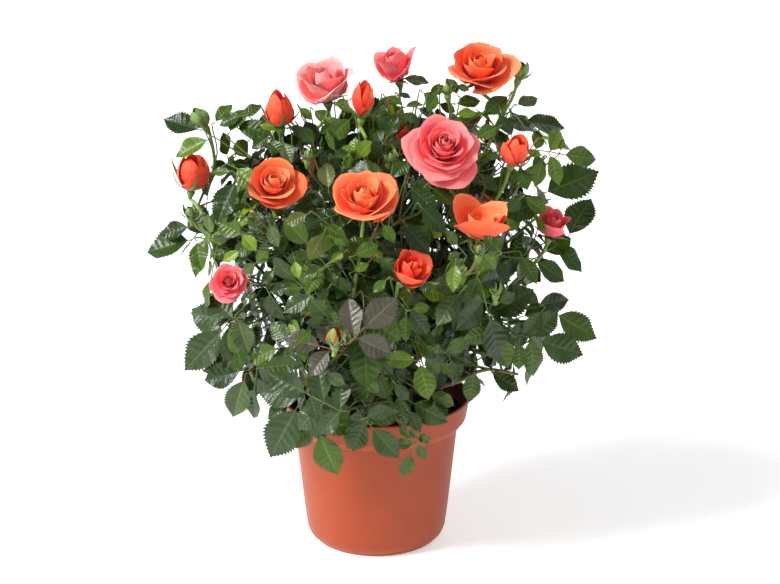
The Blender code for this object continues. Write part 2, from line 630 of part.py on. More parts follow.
class Mass:
    """One mass of foliage: its limbs, its leaves, and the joints that more can grow from."""

    def __init__(self, crown, name):
        self.crown = crown
        self.name = name
        self.random = random.Random(MASSES[name].seed)
        self.limbs = []
        self.leaves = []
        self.joints = []
        cane = crown.canes[name]
        way = unit(cane.points[-1] - cane.points[-2])
        start = cane.points[-1] + way * GAP
        outward = crown_normal(mass_middle(name))
        end = mass_middle(name) + outward * STEM_REACH
        points = bend(start, way, end, outward + np.array((0.0, 0.0, STEM_LIFT)), STEM_STEPS)
        self.add_limb(Limb(points, np.linspace(CANE_TIP_RADIUS, TWIG_RADIUS, len(points))), FIRST_JOINT)
        for bloom in crown.blooms[name]:
            self.grow_bloom_stalk(bloom)

    def add_limb(self, limb, bare=0.0):
        self.limbs.append(limb)
        for place, point in enumerate(limb.points):
            if np.linalg.norm(point - limb.points[0]) < bare:
                continue
            before = limb.points[max(0, place - 1)]
            after = limb.points[min(len(limb.points) - 1, place + 1)]
            self.joints.append((point, unit(after - before)))

    def nearest_joint(self, point):
        """The joint a twig to the point would leave from: near it, and not above it."""

        def cost(joint):
            drop = max(0.0, joint[0][2] - point[2])
            return np.linalg.norm(point - joint[0]) + drop * DROP_COST

        return min(self.joints, key=cost)

    def grow_bloom_stalk(self, bloom):
        facing = unit(bloom.facing)
        height = BLOOM_HEIGHT[bloom.form] * bloom.radius
        neck = np.array(bloom.middle) - facing * height * (BLOOM_SINK - STALK_IN_BLOOM)
        joint, way = self.nearest_joint(neck)
        joint = joint - way * TWIG_SINK
        upward = facing * BLOOM_STALK_TURN + np.array((0.0, 0.0, BLOOM_STALK_LIFT))
        points = bend(joint, way + unit(neck - joint), neck, upward, STEM_STEPS)
        radii = np.linspace(BLOOM_STALK_FOOT_RADIUS, BLOOM_STALK_RADIUS, len(points))
        self.limbs.append(Limb(points, radii))
        for place in range(1, len(points) - 1):
            self.joints.append((points[place], unit(points[place + 1] - points[place - 1])))

    def grow_leaf(self, tip, way, length, face, pairs):
        """Adds a compound leaf that ends at tip, on a stalk from a joint. True when it had room."""
        way = unit(way)
        face = unit(face - way * (face @ way))
        side = np.cross(face, way)
        rachis = length * RACHIS_SHARE * (1.0 if pairs > 1 else ONE_PAIR_RACHIS)
        base = tip - way * length
        crotch = base - way * rachis
        leaflets = []
        wanted = [Leaflet(base, way, face, length)]
        for pair in PAIRS[:pairs]:
            for hand in (1, -1):
                wander = self.random.uniform(-PAIR_ANGLE_SPREAD, PAIR_ANGLE_SPREAD)
                angle = math.radians(pair.angle + wander)
                roll = self.random.uniform(-PAIR_ROLL, PAIR_ROLL)
                spread = way * math.cos(angle) + side * hand * math.sin(angle)
                turned_way = unit(spread - face * PAIR_DROOP)
                turned_face = unit(face + side * roll)
                turned_face = unit(turned_face - turned_way * (turned_face @ turned_way))
                place = crotch + way * rachis * pair.place
                wanted.append(Leaflet(place, turned_way, turned_face, length * pair.length))
        for leaflet in wanted:
            if self.crown.room_for_leaflet(leaflet, self.name):
                leaflets.append(leaflet)
        if len(leaflets) < min(LEAST_LEAFLETS, len(wanted)) or leaflets[0] is not wanted[0]:
            return False
        joint, joint_way = self.nearest_joint(crotch)
        joint = joint - joint_way * TWIG_SINK
        twig = None
        if np.linalg.norm(crotch - joint) > LONGEST_STALK:
            arrival = unit(crotch - joint) + way
            end = crotch - unit(arrival) * TWIG_SHORT_OF_LEAF
            points = bend(joint, joint_way + 2 * unit(end - joint), end, arrival, TWIG_STEPS)
            twig = Limb(points, np.linspace(TWIG_RADIUS, TWIG_RADIUS * TWIG_TAPER, len(points)))
            if not self.crown.room_for_limb(points, TWIG_RADIUS, self.name):
                return False
            joint = points[-1] - unit(points[-1] - points[-2]) * TWIG_SINK
        stalk = np.array((joint, crotch, base + way * STALK_PAST_LEAFLET))
        if not self.crown.room_for_limb(stalk, STALK_RADIUS, self.name):
            return False
        if twig:
            self.add_limb(twig)
        stalk = Limb(stalk, np.linspace(STALK_FOOT_RADIUS, STALK_TIP_RADIUS, len(stalk)))
        self.leaves.append(Leaf(stalk, leaflets))
        for leaflet in leaflets:
            middle = leaflet.base + leaflet.way * leaflet.length * LEAFLET_MIDDLE
            self.crown.leaflet_middles.append(middle)
        return True


def grow_crown():
    """Every mass with its blooms, its outline sprays and its leaves."""
    crown = Crown()
    masses = {name: Mass(crown, name) for name in crown.names}
    for spray in SPRAYS:
        tip = np.array(spray.tip)
        way = unit(spray.way)
        mass = masses[crown.cell_of(tip - way * spray.length * LEAF_MIDDLE)]
        face = crown_normal(tip) + np.array(SPRAY_FACE_PULL)
        mass.grow_leaf(tip, way, spray.length, face, len(PAIRS))
    for layer in LAYERS:
        for number in range(layer.count):
            grow_at_place(crown, masses, layer, number)
    return crown, masses


def grow_at_place(crown, masses, layer, number):
    """Tries a few leaves at one place of a spiral layer, and keeps the first that has room."""
    chance = random.Random(CROWN_SEED + number + 1000 * LAYERS.index(layer))
    level = 1 - (1 - layer.lowest) * (number + 0.5) / layer.count
    angle = layer.turn + number * GOLDEN_ANGLE
    flat = math.sqrt(1 - level * level)
    outward = np.array((math.cos(angle) * flat, math.sin(angle) * flat, level))
    edge = crown_edge(outward)
    for attempt in range(LEAF_TRIES):
        share = 1.0 - chance.random() * (FIRST_DROP_BACK + DROP_BACK_GROWTH * attempt / LEAF_TRIES)
        tip = CROWN_MIDDLE + (edge - CROWN_MIDDLE) * layer.depth * share
        normal = crown_normal(tip)
        shrink = 1 - SMALLEST_TRY * attempt / LEAF_TRIES
        length = chance.uniform(*LEAFLET_LENGTHS) * LEAFLET_GROWTH * shrink
        spin = chance.uniform(0, math.tau)
        level_side = unit(np.cross(normal, (0.0, 0.0, 1.0)) + np.array((1e-6, 0.0, 0.0)))
        steep_side = np.cross(level_side, normal)
        around = level_side * math.cos(spin) + steep_side * math.sin(spin)
        outwards = normal * chance.uniform(*LEAF_OUTWARDS)
        way = unit(outwards + around * LEAF_SIDEWAYS - np.array((0.0, 0.0, LEAF_DROOP)))
        face = normal + np.array((0.0, 0.0, chance.uniform(*LEAF_FACE_LIFT)))
        full_leaf = FULL_LEAF_CHANCE - FULL_LEAF_LOSS * attempt / LEAF_TRIES
        pairs = len(PAIRS) if chance.random() < full_leaf else 1
        mass = masses[crown.cell_of(tip - way * length * LEAF_MIDDLE)]
        if mass.grow_leaf(tip, way, length, face, pairs):
            return


# ---------------------------------------------------------------- fusing each mass
def bloom_shape(bloom):
    height = BLOOM_HEIGHT[bloom.form] * bloom.radius
    outline = [(share * bloom.radius, rise * height) for share, rise in BLOOM_OUTLINE[bloom.form]]
    vertices, faces = turned(outline, BLOOM_SEGMENTS[bloom.form], BLOOM_LOBE)
    facing = Vector(unit(bloom.facing))
    neck = Vector(bloom.middle) - facing * height * BLOOM_SINK
    stand = Matrix.Translation(neck) @ facing.to_track_quat("Z", "Y").to_matrix().to_4x4()
    return [stand @ Vector(vertex) for vertex in vertices], faces


def make_mass(mass):
    """One solid: the mass's stem with its twigs, stalks, leaflets and blooms fused to it."""
    name = "foliage_" + mass.name
    pieces = bpy.data.collections.new("pieces_" + mass.name)
    bpy.context.scene.collection.children.link(pieces)
    stem, *others = mass.limbs
    vertices, faces = tube(stem.points, stem.radii, STEM_SIDES)
    obj = new_object(name, vertices, faces, FOLIAGE_SLOTS)
    shapes = [(tube(limb.points, limb.radii, TWIG_SIDES), 0) for limb in others]
    for leaf in mass.leaves:
        stalk = tube(leaf.stalk.points, leaf.stalk.radii, TWIG_SIDES, leaf.leaflets[0].face)
        shapes.append((stalk, 0))
        shapes += [(leaflet_shape(leaflet), 0) for leaflet in leaf.leaflets]
    for bloom in mass.crown.blooms[mass.name]:
        shapes.append((bloom_shape(bloom), FOLIAGE_SLOTS.index(bloom.hue)))
    for number, ((vertices, faces), slot) in enumerate(shapes):
        piece = new_object("piece_" + str(number), vertices, faces, FOLIAGE_SLOTS, slot)
        bpy.context.scene.collection.objects.unlink(piece)
        pieces.objects.link(piece)
    fuse = obj.modifiers.new("fuse", "BOOLEAN")
    fuse.operation = "UNION"
    fuse.operand_type = "COLLECTION"
    fuse.collection = pieces
    fuse.solver = "MANIFOLD"
    apply_modifiers(obj)
    for piece in list(pieces.objects):
        bpy.data.objects.remove(piece)
    bpy.data.collections.remove(pieces)
    keep_outer_body(obj)
    shade(obj)
    thin = obj.modifiers.new("thin", "DECIMATE")
    thin.ratio = FACES_KEPT
    return obj


def keep_outer_body(obj):
    """Keeps the largest closed body, so that sealed hollows are filled and scraps dropped."""
    shape = bmesh.new()
    shape.from_mesh(obj.data)
    bmesh.ops.triangulate(shape, faces=shape.faces)
    waiting = set(shape.faces)
    bodies = []
    while waiting:
        body = [waiting.pop()]
        for face in body:
            for edge in face.edges:
                for other in edge.link_faces:
                    if other in waiting:
                        waiting.remove(other)
                        body.append(other)
        volume = sum(
            face.verts[0].co.dot(face.verts[1].co.cross(face.verts[2].co)) for face in body
        )
        bodies.append((volume, body))
    bodies.sort(key=lambda entry: entry[0], reverse=True)
    scraps = [face for _, body in bodies[1:] for face in body]
    bmesh.ops.delete(shape, geom=scraps, context="FACES")
    shape.to_mesh(obj.data)
    shape.free()


def main():
    for obj in list(bpy.data.objects):
        bpy.data.objects.remove(obj)
    make_pot()
    make_soil()
    make_short_stem()
    crown, masses = grow_crown()
    for name, limb in crown.canes.items():
        make_cane(name, limb)
    for mass in masses.values():
        make_mass(mass)


main()
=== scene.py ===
"""The looks of a miniature rose bush in its nursery pot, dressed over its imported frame.

The crown first grows by the same seeded rule as the part's source, so its canes, limbs, leaves
and blooms are where the solids have them. A few stalks are then led anew, and finer boughs, the
leaves of the plant's picture and layers of smaller leaves go on from there. Everything is in
metres, +Z up, with the pot's underside on the floor at the origin.
"""

import json
import math
import random
from collections import namedtuple

import bmesh
import bpy
import numpy as np
from mathutils import Matrix, Vector, noise

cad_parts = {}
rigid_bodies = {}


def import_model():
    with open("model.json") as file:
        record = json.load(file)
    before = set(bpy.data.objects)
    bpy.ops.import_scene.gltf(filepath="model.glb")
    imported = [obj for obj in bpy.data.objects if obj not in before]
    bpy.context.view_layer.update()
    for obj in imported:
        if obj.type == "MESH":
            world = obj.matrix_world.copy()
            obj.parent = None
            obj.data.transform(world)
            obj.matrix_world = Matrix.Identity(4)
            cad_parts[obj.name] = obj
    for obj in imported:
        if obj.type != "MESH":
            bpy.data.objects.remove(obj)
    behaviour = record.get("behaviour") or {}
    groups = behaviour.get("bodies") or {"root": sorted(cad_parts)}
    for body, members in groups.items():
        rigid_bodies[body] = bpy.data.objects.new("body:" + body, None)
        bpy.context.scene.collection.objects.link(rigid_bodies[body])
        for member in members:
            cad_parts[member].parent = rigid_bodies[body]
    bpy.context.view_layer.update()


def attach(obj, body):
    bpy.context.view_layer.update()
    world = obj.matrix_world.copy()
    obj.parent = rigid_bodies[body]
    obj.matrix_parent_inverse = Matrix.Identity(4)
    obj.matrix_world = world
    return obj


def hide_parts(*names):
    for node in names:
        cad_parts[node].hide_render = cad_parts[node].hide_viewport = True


GAP = 0.0003
POT_HEIGHT = 0.095
RIM_RADIUS = 0.0600
RIM_BAND = 0.014
RIM_BAND_FOOT_RADIUS = 0.0576
SHOULDER_DROP = 0.0055
BODY_TOP_RADIUS = 0.0522
BODY_FOOT_RADIUS = 0.0450
BODY_FOOT_HEIGHT = 0.0080
FOOT_RADIUS = 0.0405
POT_WALL = 0.0018
POT_FLOOR = 0.0025
NOTCH_AZIMUTHS = (-152.0, -6.0, 102.0)
NOTCH_WIDTH = 0.014
NOTCH_HEIGHT = 0.006
NOTCH_TOP_SHARE = 0.8
SOIL_TOP = 0.083
SOIL_DOME = 0.0015
STEM_FOOT_RADIUS = 0.0085
STEM_HEAD_RADIUS = 0.0100
STEM_NECK_HEIGHT = 0.004
STEM_LEAN = (0.0010, -0.0012)
STEM_HEAD_SHARE = 0.55

# ---------------------------------------------------------------- the crown
CROWN_MIDDLE = np.array((0.0, 0.0, 0.185))
CROWN_DEPTH = 0.95
# Height above the floor and how far the leaf tips reach from the axis there.
CROWN_PROFILE = (
    (0.074, 0.062),
    (0.088, 0.084),
    (0.105, 0.104),
    (0.135, 0.122),
    (0.165, 0.118),
    (0.200, 0.130),
    (0.240, 0.134),
    (0.268, 0.122),
    (0.286, 0.092),
    (0.298, 0.045),
    (0.301, 0.0),
)
CROWN_SEED = 20
CROWN_FLATNESS = 1.25
FARTHEST_REACH = 0.25
HALVINGS = 24
GOLDEN_ANGLE = math.pi * (3 - math.sqrt(5))

# Each mass: azimuth in degrees (-90 is the front), distance from the axis, height, and its seed.
Place = namedtuple("Place", "azimuth spread height seed")
MASSES = {
    "low_left": Place(206, 0.086, 0.130, 1),
    "low_front": Place(266, 0.082, 0.114, 2),
    "low_right": Place(-26, 0.090, 0.128, 3),
    "low_back_right": Place(52, 0.086, 0.132, 4),
    "low_back_left": Place(126, 0.086, 0.130, 5),
    "mid_left": Place(196, 0.090, 0.203, 6),
    "mid_front": Place(260, 0.086, 0.178, 7),
    "mid_front_right": Place(-46, 0.086, 0.192, 8),
    "mid_right": Place(6, 0.092, 0.205, 9),
    "mid_back": Place(90, 0.086, 0.200, 10),
    "top_left": Place(160, 0.070, 0.262, 11),
    "top_front": Place(262, 0.036, 0.262, 12),
    "top_right": Place(0, 0.072, 0.266, 15),
    "top_back": Place(84, 0.056, 0.266, 14),
}
# How far from upright each tier's canes leave the short stem, in degrees.
CANE_SPLAY = {"low": 76.0, "mid": 50.0, "top": 25.0}
CANE_SHARE = 0.74
CANE_FOOT_RADIUS = 0.0018
CANE_TIP_RADIUS = 0.0012
CANE_LIFT = 0.03
CANE_STEPS = 5
STEM_REACH = 0.0088
STEM_LIFT = 0.6
STEM_STEPS = 3
TWIG_RADIUS = 0.0009
TWIG_STEPS = 2
TWIG_SINK = 0.0012
STALK_RADIUS = 0.00065
STALK_FOOT_RADIUS = 0.000715
STALK_TIP_RADIUS = 0.00052
TWIG_TAPER = 0.8
LONGEST_STALK = 0.034
TWIG_SHORT_OF_LEAF = 0.020
DROP_COST = 0.6
FIRST_JOINT = 0.006

# ---------------------------------------------------------------- blooms and leaves
Bloom = namedtuple("Bloom", "form hue middle facing radius")
BLOOMS = (
    Bloom("half", "pink", (-0.031, 0.010, 0.295), (-0.15, -0.35, 0.93), 0.018),
    Bloom("bud", "orange", (-0.058, -0.010, 0.281), (-0.05, -0.20, 0.98), 0.0105),
    Bloom("bud", "orange", (-0.008, -0.025, 0.290), (0.05, -0.10, 1.00), 0.0070),
    Bloom("half", "pink", (0.013, 0.025, 0.303), (0.10, -0.10, 1.00), 0.0115),
    Bloom("open", "orange", (0.066, 0.000, 0.302), (0.05, -0.80, 0.60), 0.0210),
    Bloom("bud", "orange", (-0.111, -0.010, 0.242), (0.10, -0.35, 0.93), 0.0110),
    Bloom("open", "orange", (-0.057, -0.060, 0.246), (0.00, -0.80, 0.60), 0.0180),
    Bloom("open", "orange", (-0.005, -0.080, 0.242), (0.00, -0.75, 0.65), 0.0205),
    Bloom("full", "pink", (0.037, -0.055, 0.264), (0.05, -0.80, 0.60), 0.0255),
    Bloom("bud", "orange", (0.083, -0.040, 0.262), (0.05, -0.50, 0.85), 0.0090),
    Bloom("half", "orange", (0.061, -0.075, 0.231), (0.10, -0.30, 0.95), 0.0170),
    Bloom("half", "pink", (0.111, -0.020, 0.213), (0.15, -0.30, 0.95), 0.0100),
    Bloom("open", "pink", (-0.087, -0.060, 0.187), (-0.15, -0.90, 0.40), 0.0125),
    Bloom("half", "orange", (0.021, -0.095, 0.204), (0.45, -0.60, 0.65), 0.0130),
    Bloom("green", "green", (-0.023, -0.100, 0.166), (0.00, -0.10, 1.00), 0.0045),
    Bloom("green", "green", (-0.108, 0.010, 0.271), (-0.30, 0.00, 0.95), 0.0050),
    Bloom("green", "green", (0.089, 0.010, 0.301), (0.15, 0.00, 1.00), 0.0050),
    Bloom("green", "green", (0.071, -0.080, 0.190), (0.10, -0.20, 1.00), 0.0045),
    Bloom("full", "pink", (0.042, 0.082, 0.240), (0.30, 0.80, 0.50), 0.0235),
    Bloom("open", "orange", (-0.040, 0.068, 0.268), (-0.25, 0.70, 0.65), 0.0200),
    Bloom("half", "orange", (0.092, 0.048, 0.262), (0.50, 0.40, 0.75), 0.0150),
    Bloom("bud", "pink", (-0.088, 0.062, 0.244), (-0.55, 0.40, 0.75), 0.0100),
    Bloom("open", "orange", (0.004, 0.112, 0.200), (0.05, 0.90, 0.40), 0.0180),
    Bloom("bud", "orange", (-0.082, 0.088, 0.190), (-0.40, 0.70, 0.60), 0.0095),
    Bloom("half", "pink", (0.010, 0.066, 0.292), (0.05, 0.25, 0.95), 0.0140),
    Bloom("bud", "orange", (0.104, 0.052, 0.196), (0.60, 0.40, 0.70), 0.0095),
)
# A bloom's height against its radius, and how much of it is below its middle.
BLOOM_HEIGHT = {"full": 1.15, "open": 1.20, "half": 1.55, "bud": 2.10, "green": 2.30}
BLOOM_SINK = 0.55
STALK_IN_BLOOM = 0.06
BLOOM_CLEARANCE = 0.002
BLOOM_OUTLOOK = 0.028
# Blooms nearer the front than this look out to the front as well, and the others to the back.
OUTLOOK_PARTING = 0.03
OUTLOOK_PULL = 0.9
OUTLOOK_LIFT = 0.3
BLOOM_STALK_FOOT_RADIUS = 0.00108
BLOOM_STALK_RADIUS = 0.0011
BLOOM_STALK_TURN = 0.6
BLOOM_STALK_LIFT = 0.8

# The leaves whose tips make the outline: tip, the way it points, length of its end leaflet.
Spray = namedtuple("Spray", "tip way length")
SPRAYS = (
    Spray((-0.130, 0.010, 0.270), (-1.00, 0.00, 0.10), 0.029),
    Spray((-0.143, -0.010, 0.194), (-0.95, -0.10, -0.15), 0.031),
    Spray((-0.116, -0.060, 0.131), (-0.75, -0.20, -0.60), 0.034),
    Spray((-0.107, -0.030, 0.113), (-0.85, -0.10, -0.45), 0.030),
    Spray((-0.088, -0.050, 0.098), (-0.30, -0.10, -0.95), 0.026),
    Spray((-0.064, -0.090, 0.085), (-0.40, -0.20, -0.90), 0.036),
    Spray((-0.028, -0.085, 0.073), (0.15, -0.25, -1.00), 0.029),
    Spray((0.017, -0.086, 0.072), (0.00, -0.25, -1.00), 0.019),
    Spray((0.089, -0.040, 0.112), (0.75, -0.10, -0.60), 0.028),
    Spray((0.127, -0.040, 0.134), (0.95, -0.15, -0.25), 0.032),
    Spray((0.139, -0.010, 0.136), (0.90, 0.00, -0.40), 0.030),
    Spray((0.132, 0.000, 0.176), (0.60, -0.10, -0.75), 0.030),
    Spray((0.135, 0.010, 0.222), (0.55, 0.00, 0.80), 0.028),
    Spray((0.140, 0.010, 0.240), (0.90, 0.00, 0.35), 0.034),
    Spray((0.139, 0.000, 0.248), (1.00, 0.00, 0.05), 0.024),
    Spray((0.120, 0.020, 0.265), (0.95, 0.00, 0.05), 0.031),
    Spray((-0.052, -0.112, 0.148), (-0.55, -0.40, -0.75), 0.031),
    Spray((-0.004, -0.120, 0.140), (0.05, -0.45, -0.90), 0.032),
    Spray((-0.030, -0.112, 0.190), (-0.45, -0.50, -0.70), 0.028),
    Spray((0.046, -0.116, 0.156), (0.35, -0.45, -0.80), 0.030),
    Spray((0.010, -0.104, 0.098), (0.25, -0.40, -0.90), 0.027),
)
SPRAY_FACE_PULL = (0.0, -0.35, 0.75)
# Layers of leaf places, each a golden-angle spiral over the crown from its lowest level up.
Layer = namedtuple("Layer", "count depth turn lowest")
LAYERS = (
    Layer(72, 1.00, 0.0, -0.82),
    Layer(26, 0.88, 0.9, 0.10),
    Layer(26, 0.74, 1.9, -0.35),
)
LEAFLET_LENGTHS = (0.022, 0.031)
LEAFLET_WIDTH = 0.76
LEAFLET_GROWTH = 1.12
LEAFLET_FOLD = 0.10
LEAFLET_MIDDLE = 0.45
# Places on a leaflet's outline and midrib that are tested: share of length, share of half width.
LEAFLET_TESTS = ((0, 0), (0.2, 0.5), (0.42, 1), (0.7, 0.55), (1, 0), (0.2, 0), (0.6, 0), (0.8, 0))
STALK_PAST_LEAFLET = 0.0004
# Pairs of leaflets below the end one: place along the rachis, length and angle in degrees.
Pair = namedtuple("Pair", "place length angle")
PAIRS = (Pair(0.52, 0.84, 60.0), Pair(0.05, 0.66, 70.0))
PAIR_ANGLE_SPREAD = 8.0
PAIR_ROLL = 0.25
PAIR_DROOP = 0.10
RACHIS_SHARE = 0.75
RACHIS_OF_PAIRS = (0.15, 0.55, 1.0)
CELL_MARGIN = 0.0007
CANE_MARGIN = 0.0006
POT_MARGIN = 0.0016
LEAFLET_CANE_MARGIN = 0.0012
LEAFLET_POT_MARGIN = 0.0004
CROWDING = 0.0070
LEAST_LEAFLETS = 3
LEAF_TRIES = 30
# How later tries at one place differ: shorter leaves, further in, and more of one pair.
SMALLEST_TRY = 0.35
FIRST_DROP_BACK = 0.05
DROP_BACK_GROWTH = 0.15
FULL_LEAF_CHANCE = 0.8
FULL_LEAF_LOSS = 0.5
LEAF_OUTWARDS = (0.35, 0.75)
LEAF_SIDEWAYS = 0.8
LEAF_DROOP = 0.22
LEAF_FACE_LIFT = (0.3, 0.9)
LEAF_MIDDLE = 1.0


# ---------------------------------------------------------------- vectors and shapes
def unit(vector):
    vector = np.asarray(vector, float)
    return vector / np.linalg.norm(vector)


def lerp(low, high, place):
    return low + (high - low) * place


def round_the_axis(azimuth, spread, height):
    angle = math.radians(azimuth)
    return np.array((math.cos(angle) * spread, math.sin(angle) * spread, height))


def bend(start, start_way, end, end_way, steps):
    """Points of a cubic curve from start to end that leaves and arrives the ways given."""
    pull = np.linalg.norm(end - start) / 3
    controls = np.array((start, start + unit(start_way) * pull, end - unit(end_way) * pull, end))
    points = []
    for step in range(steps + 1):
        t = step / steps
        u = 1 - t
        weights = np.array((u**3, 3 * u * u * t, 3 * u * t * t, t**3))
        points.append(weights @ controls)
    return np.array(points)


def sunk(start, end, place):
    """A point between the two, and deeper inside the crown by a share of the way."""
    point = lerp(start, end, place)
    return point - crown_normal(point) * np.linalg.norm(end - start) * SUNK_SHARE


def stem_head():
    """The middle of the knot that the canes rise from."""
    foot = SOIL_TOP + SOIL_DOME + GAP
    rise = STEM_NECK_HEIGHT + STEM_HEAD_RADIUS * STEM_HEAD_SHARE
    return np.array((*STEM_LEAN, foot + rise))


# ---------------------------------------------------------------- canes
Limb = namedtuple("Limb", "points radii")


def mass_middle(name):
    place = MASSES[name]
    return round_the_axis(place.azimuth, place.spread, place.height)


def cane_limb(name):
    """The cane that carries a mass: from the short stem to where it enters the mass."""
    place = MASSES[name]
    splay = math.radians(CANE_SPLAY[name.split("_")[0]])
    outward = round_the_axis(place.azimuth, 1.0, 0.0)
    way = outward * math.sin(splay) + np.array((0.0, 0.0, math.cos(splay)))
    start = stem_head() + way * (STEM_HEAD_RADIUS + GAP)
    middle = mass_middle(name)
    tip = start + (middle - start) * CANE_SHARE
    points = bend(start, way, tip, middle - start + np.array((0.0, 0.0, CANE_LIFT)), CANE_STEPS)
    radii = np.linspace(CANE_FOOT_RADIUS, CANE_TIP_RADIUS, CANE_STEPS + 1)
    return Limb(points, radii)


# ---------------------------------------------------------------- growing the foliage
Leaf = namedtuple("Leaf", "stalk leaflets tint", defaults=(None,))


class Leaflet(namedtuple("Leaflet", "base way face length")):
    """One leaflet: its base, the way it points, the way its face looks, and its length."""

    def at(self, place):
        """The point at a share of the midrib."""
        return self.base + self.way * self.length * place


def crown_reach(height):
    heights, reaches = zip(*CROWN_PROFILE)
    return float(np.interp(height, heights, reaches, left=0.0, right=0.0))


def crown_edge(way):
    """The point of the crown's outline seen from its middle the way given."""
    near, far = 0.0, FARTHEST_REACH
    for _ in range(HALVINGS):
        here = (near + far) / 2
        point = CROWN_MIDDLE + way * here
        if math.hypot(point[0], point[1] / CROWN_DEPTH) < crown_reach(point[2]):
            near = here
        else:
            far = here
    return CROWN_MIDDLE + way * near


def crown_normal(point):
    x, y, z = point - CROWN_MIDDLE
    return unit((x, y / CROWN_DEPTH**2, z * CROWN_FLATNESS))


def bloom_outlooks():
    """Middles, ways and clear radii of the blooms that look out of the leaves."""
    middles, ways, reaches = [], [], []
    for bloom in BLOOMS:
        if bloom.form == "green":
            continue
        pull = math.copysign(OUTLOOK_PULL, bloom.middle[1] - OUTLOOK_PARTING)
        middles.append(bloom.middle)
        ways.append(unit(unit(bloom.facing) + np.array((0.0, pull, OUTLOOK_LIFT))))
        reaches.append(bloom.radius + BLOOM_CLEARANCE)
    return np.array(middles), np.array(ways), np.array(reaches)


class Crown:
    """Holds every mass's seeds and limbs, and says whether a new piece has room."""

    def __init__(self):
        self.names = list(MASSES)
        self.canes = {name: cane_limb(name) for name in self.names}
        self.blooms = {name: [] for name in self.names}
        for bloom in BLOOMS:
            self.blooms[self.nearest_mass(bloom.middle)].append(bloom)
        self.seeds = []
        self.owners = []
        for index, name in enumerate(self.names):
            self.seeds.append(mass_middle(name))
            self.owners.append(index)
            for bloom in self.blooms[name]:
                self.seeds.append(np.array(bloom.middle))
                self.owners.append(index)
        self.seeds = np.array(self.seeds)
        self.owners = np.array(self.owners)
        limbs = self.canes.values()
        self.cane_starts = np.concatenate([limb.points[:-1] for limb in limbs])
        self.cane_ends = np.concatenate([limb.points[1:] for limb in limbs])
        self.cane_radii = np.concatenate([limb.radii[:-1] for limb in limbs])
        self.leaflet_middles = []
        self.joint_points = np.zeros((0, 3))
        self.joint_ways = np.zeros((0, 3))
        self.fine = False
        self.setting = False
        self.outlooks = bloom_outlooks()

    def nearest_mass(self, point):
        return min(self.names, key=lambda name: np.linalg.norm(mass_middle(name) - np.asarray(point)))

    def cell_of(self, point):
        return self.names[self.owners[np.linalg.norm(self.seeds - point, axis=1).argmin()]]

    def keeps_to_cell(self, points, name):
        index = self.names.index(name)
        away = np.linalg.norm(points[:, None, :] - self.seeds[None, :, :], axis=2)
        own = np.where(self.owners == index, away, np.inf).min(axis=1)
        other = np.where(self.owners == index, np.inf, away).min(axis=1)
        return bool((other - own > 2 * CELL_MARGIN).all())

    def clear_of_canes(self, points, radius):
        spans = self.cane_ends - self.cane_starts
        lengths = (spans**2).sum(axis=1)
        shares = ((points[:, None, :] - self.cane_starts) * spans).sum(axis=2) / lengths
        nearest = self.cane_starts + np.clip(shares, 0, 1)[:, :, None] * spans
        away = np.linalg.norm(points[:, None, :] - nearest, axis=2)
        return bool((away > self.cane_radii + radius + CANE_MARGIN).all())

    def clear_of_pot(self, points, radius):
        low = points[:, 2] < POT_HEIGHT + POT_MARGIN + radius
        spread = np.hypot(points[:, 0], points[:, 1])
        return bool((~low | (spread > RIM_RADIUS + POT_MARGIN + radius)).all())

    def add_joints(self, limb):
        """Every place along the limb that a finer stalk may leave from."""
        path = smooth_path(limb.points, JOINTS_ON_LIMB)
        ways = np.gradient(path, axis=0)
        kept = path[:, 2] > LOWEST_JOINT
        self.joint_points = np.concatenate([self.joint_points, path[kept]])
        self.joint_ways = np.concatenate([self.joint_ways, ways[kept]])

    def inner_joint(self, point):
        """The joint for a finer stalk to the point: deeper inside and lower, and not past a bloom."""
        best_place = point - crown_normal(point) * INWARD - np.array((0.0, 0.0, LOWER))
        cost = np.linalg.norm(self.joint_points - best_place, axis=1)
        nearest = np.argsort(cost, kind="stable")[:JOINTS_TRIED]
        away = point - self.joint_points
        best = min(nearest, key=lambda index: self.bloom_hits(point - away[index] * STALK_TESTS))
        return self.joint_points[best], unit(self.joint_ways[best])

    def clear_of_blooms(self, points):
        return self.bloom_hits(points) == 0

    def bloom_hits(self, points):
        """How many of the points are close round a bloom, or between it and where it looks out to."""
        middles, ways, reaches = self.outlooks
        apart = points[:, None, :] - middles
        along = np.clip((apart * ways).sum(axis=2), 0.0, FINE_OUTLOOK if self.fine else BLOOM_OUTLOOK)
        away = np.linalg.norm(apart - along[:, :, None] * ways, axis=2)
        return int((away < reaches).any(axis=1).sum())

    def room_for_limb(self, points, radius, name):
        if self.setting:
            return self.clear_of_pot(points, radius)
        if self.fine:
            return self.clear_of_pot(points, radius) and self.clear_of_blooms(points)
        fine = np.concatenate([points, (points[:-1] + points[1:]) / 2])
        return (
            self.keeps_to_cell(fine, name)
            and self.clear_of_canes(fine, radius)
            and self.clear_of_pot(fine, radius)
        )

    def room_for_leaflet(self, leaflet, name):
        if self.fine:
            return self.room_for_fine_leaflet(leaflet)
        side = np.cross(leaflet.face, leaflet.way)
        lift = leaflet.face * leaflet.length * LEAFLET_WIDTH * LEAFLET_FOLD
        points = []
        for along, across in LEAFLET_TESTS:
            spine = leaflet.at(along)
            for hand in (1, -1):
                reach = leaflet.length * LEAFLET_WIDTH / 2 * across * hand
                points.append(spine + side * reach + lift * across)
        points = np.array(points)
        middle = leaflet.at(LEAFLET_MIDDLE)
        others = np.array(self.leaflet_middles or [(9.0, 9.0, 9.0)])
        crowded = (np.linalg.norm(others - middle, axis=1) < CROWDING).any()
        return (
            not crowded
            and self.keeps_to_cell(points, name)
            and self.clear_of_canes(points, LEAFLET_CANE_MARGIN)
            and self.clear_of_pot(points, LEAFLET_POT_MARGIN)
            and self.clear_of_blooms(points)
        )

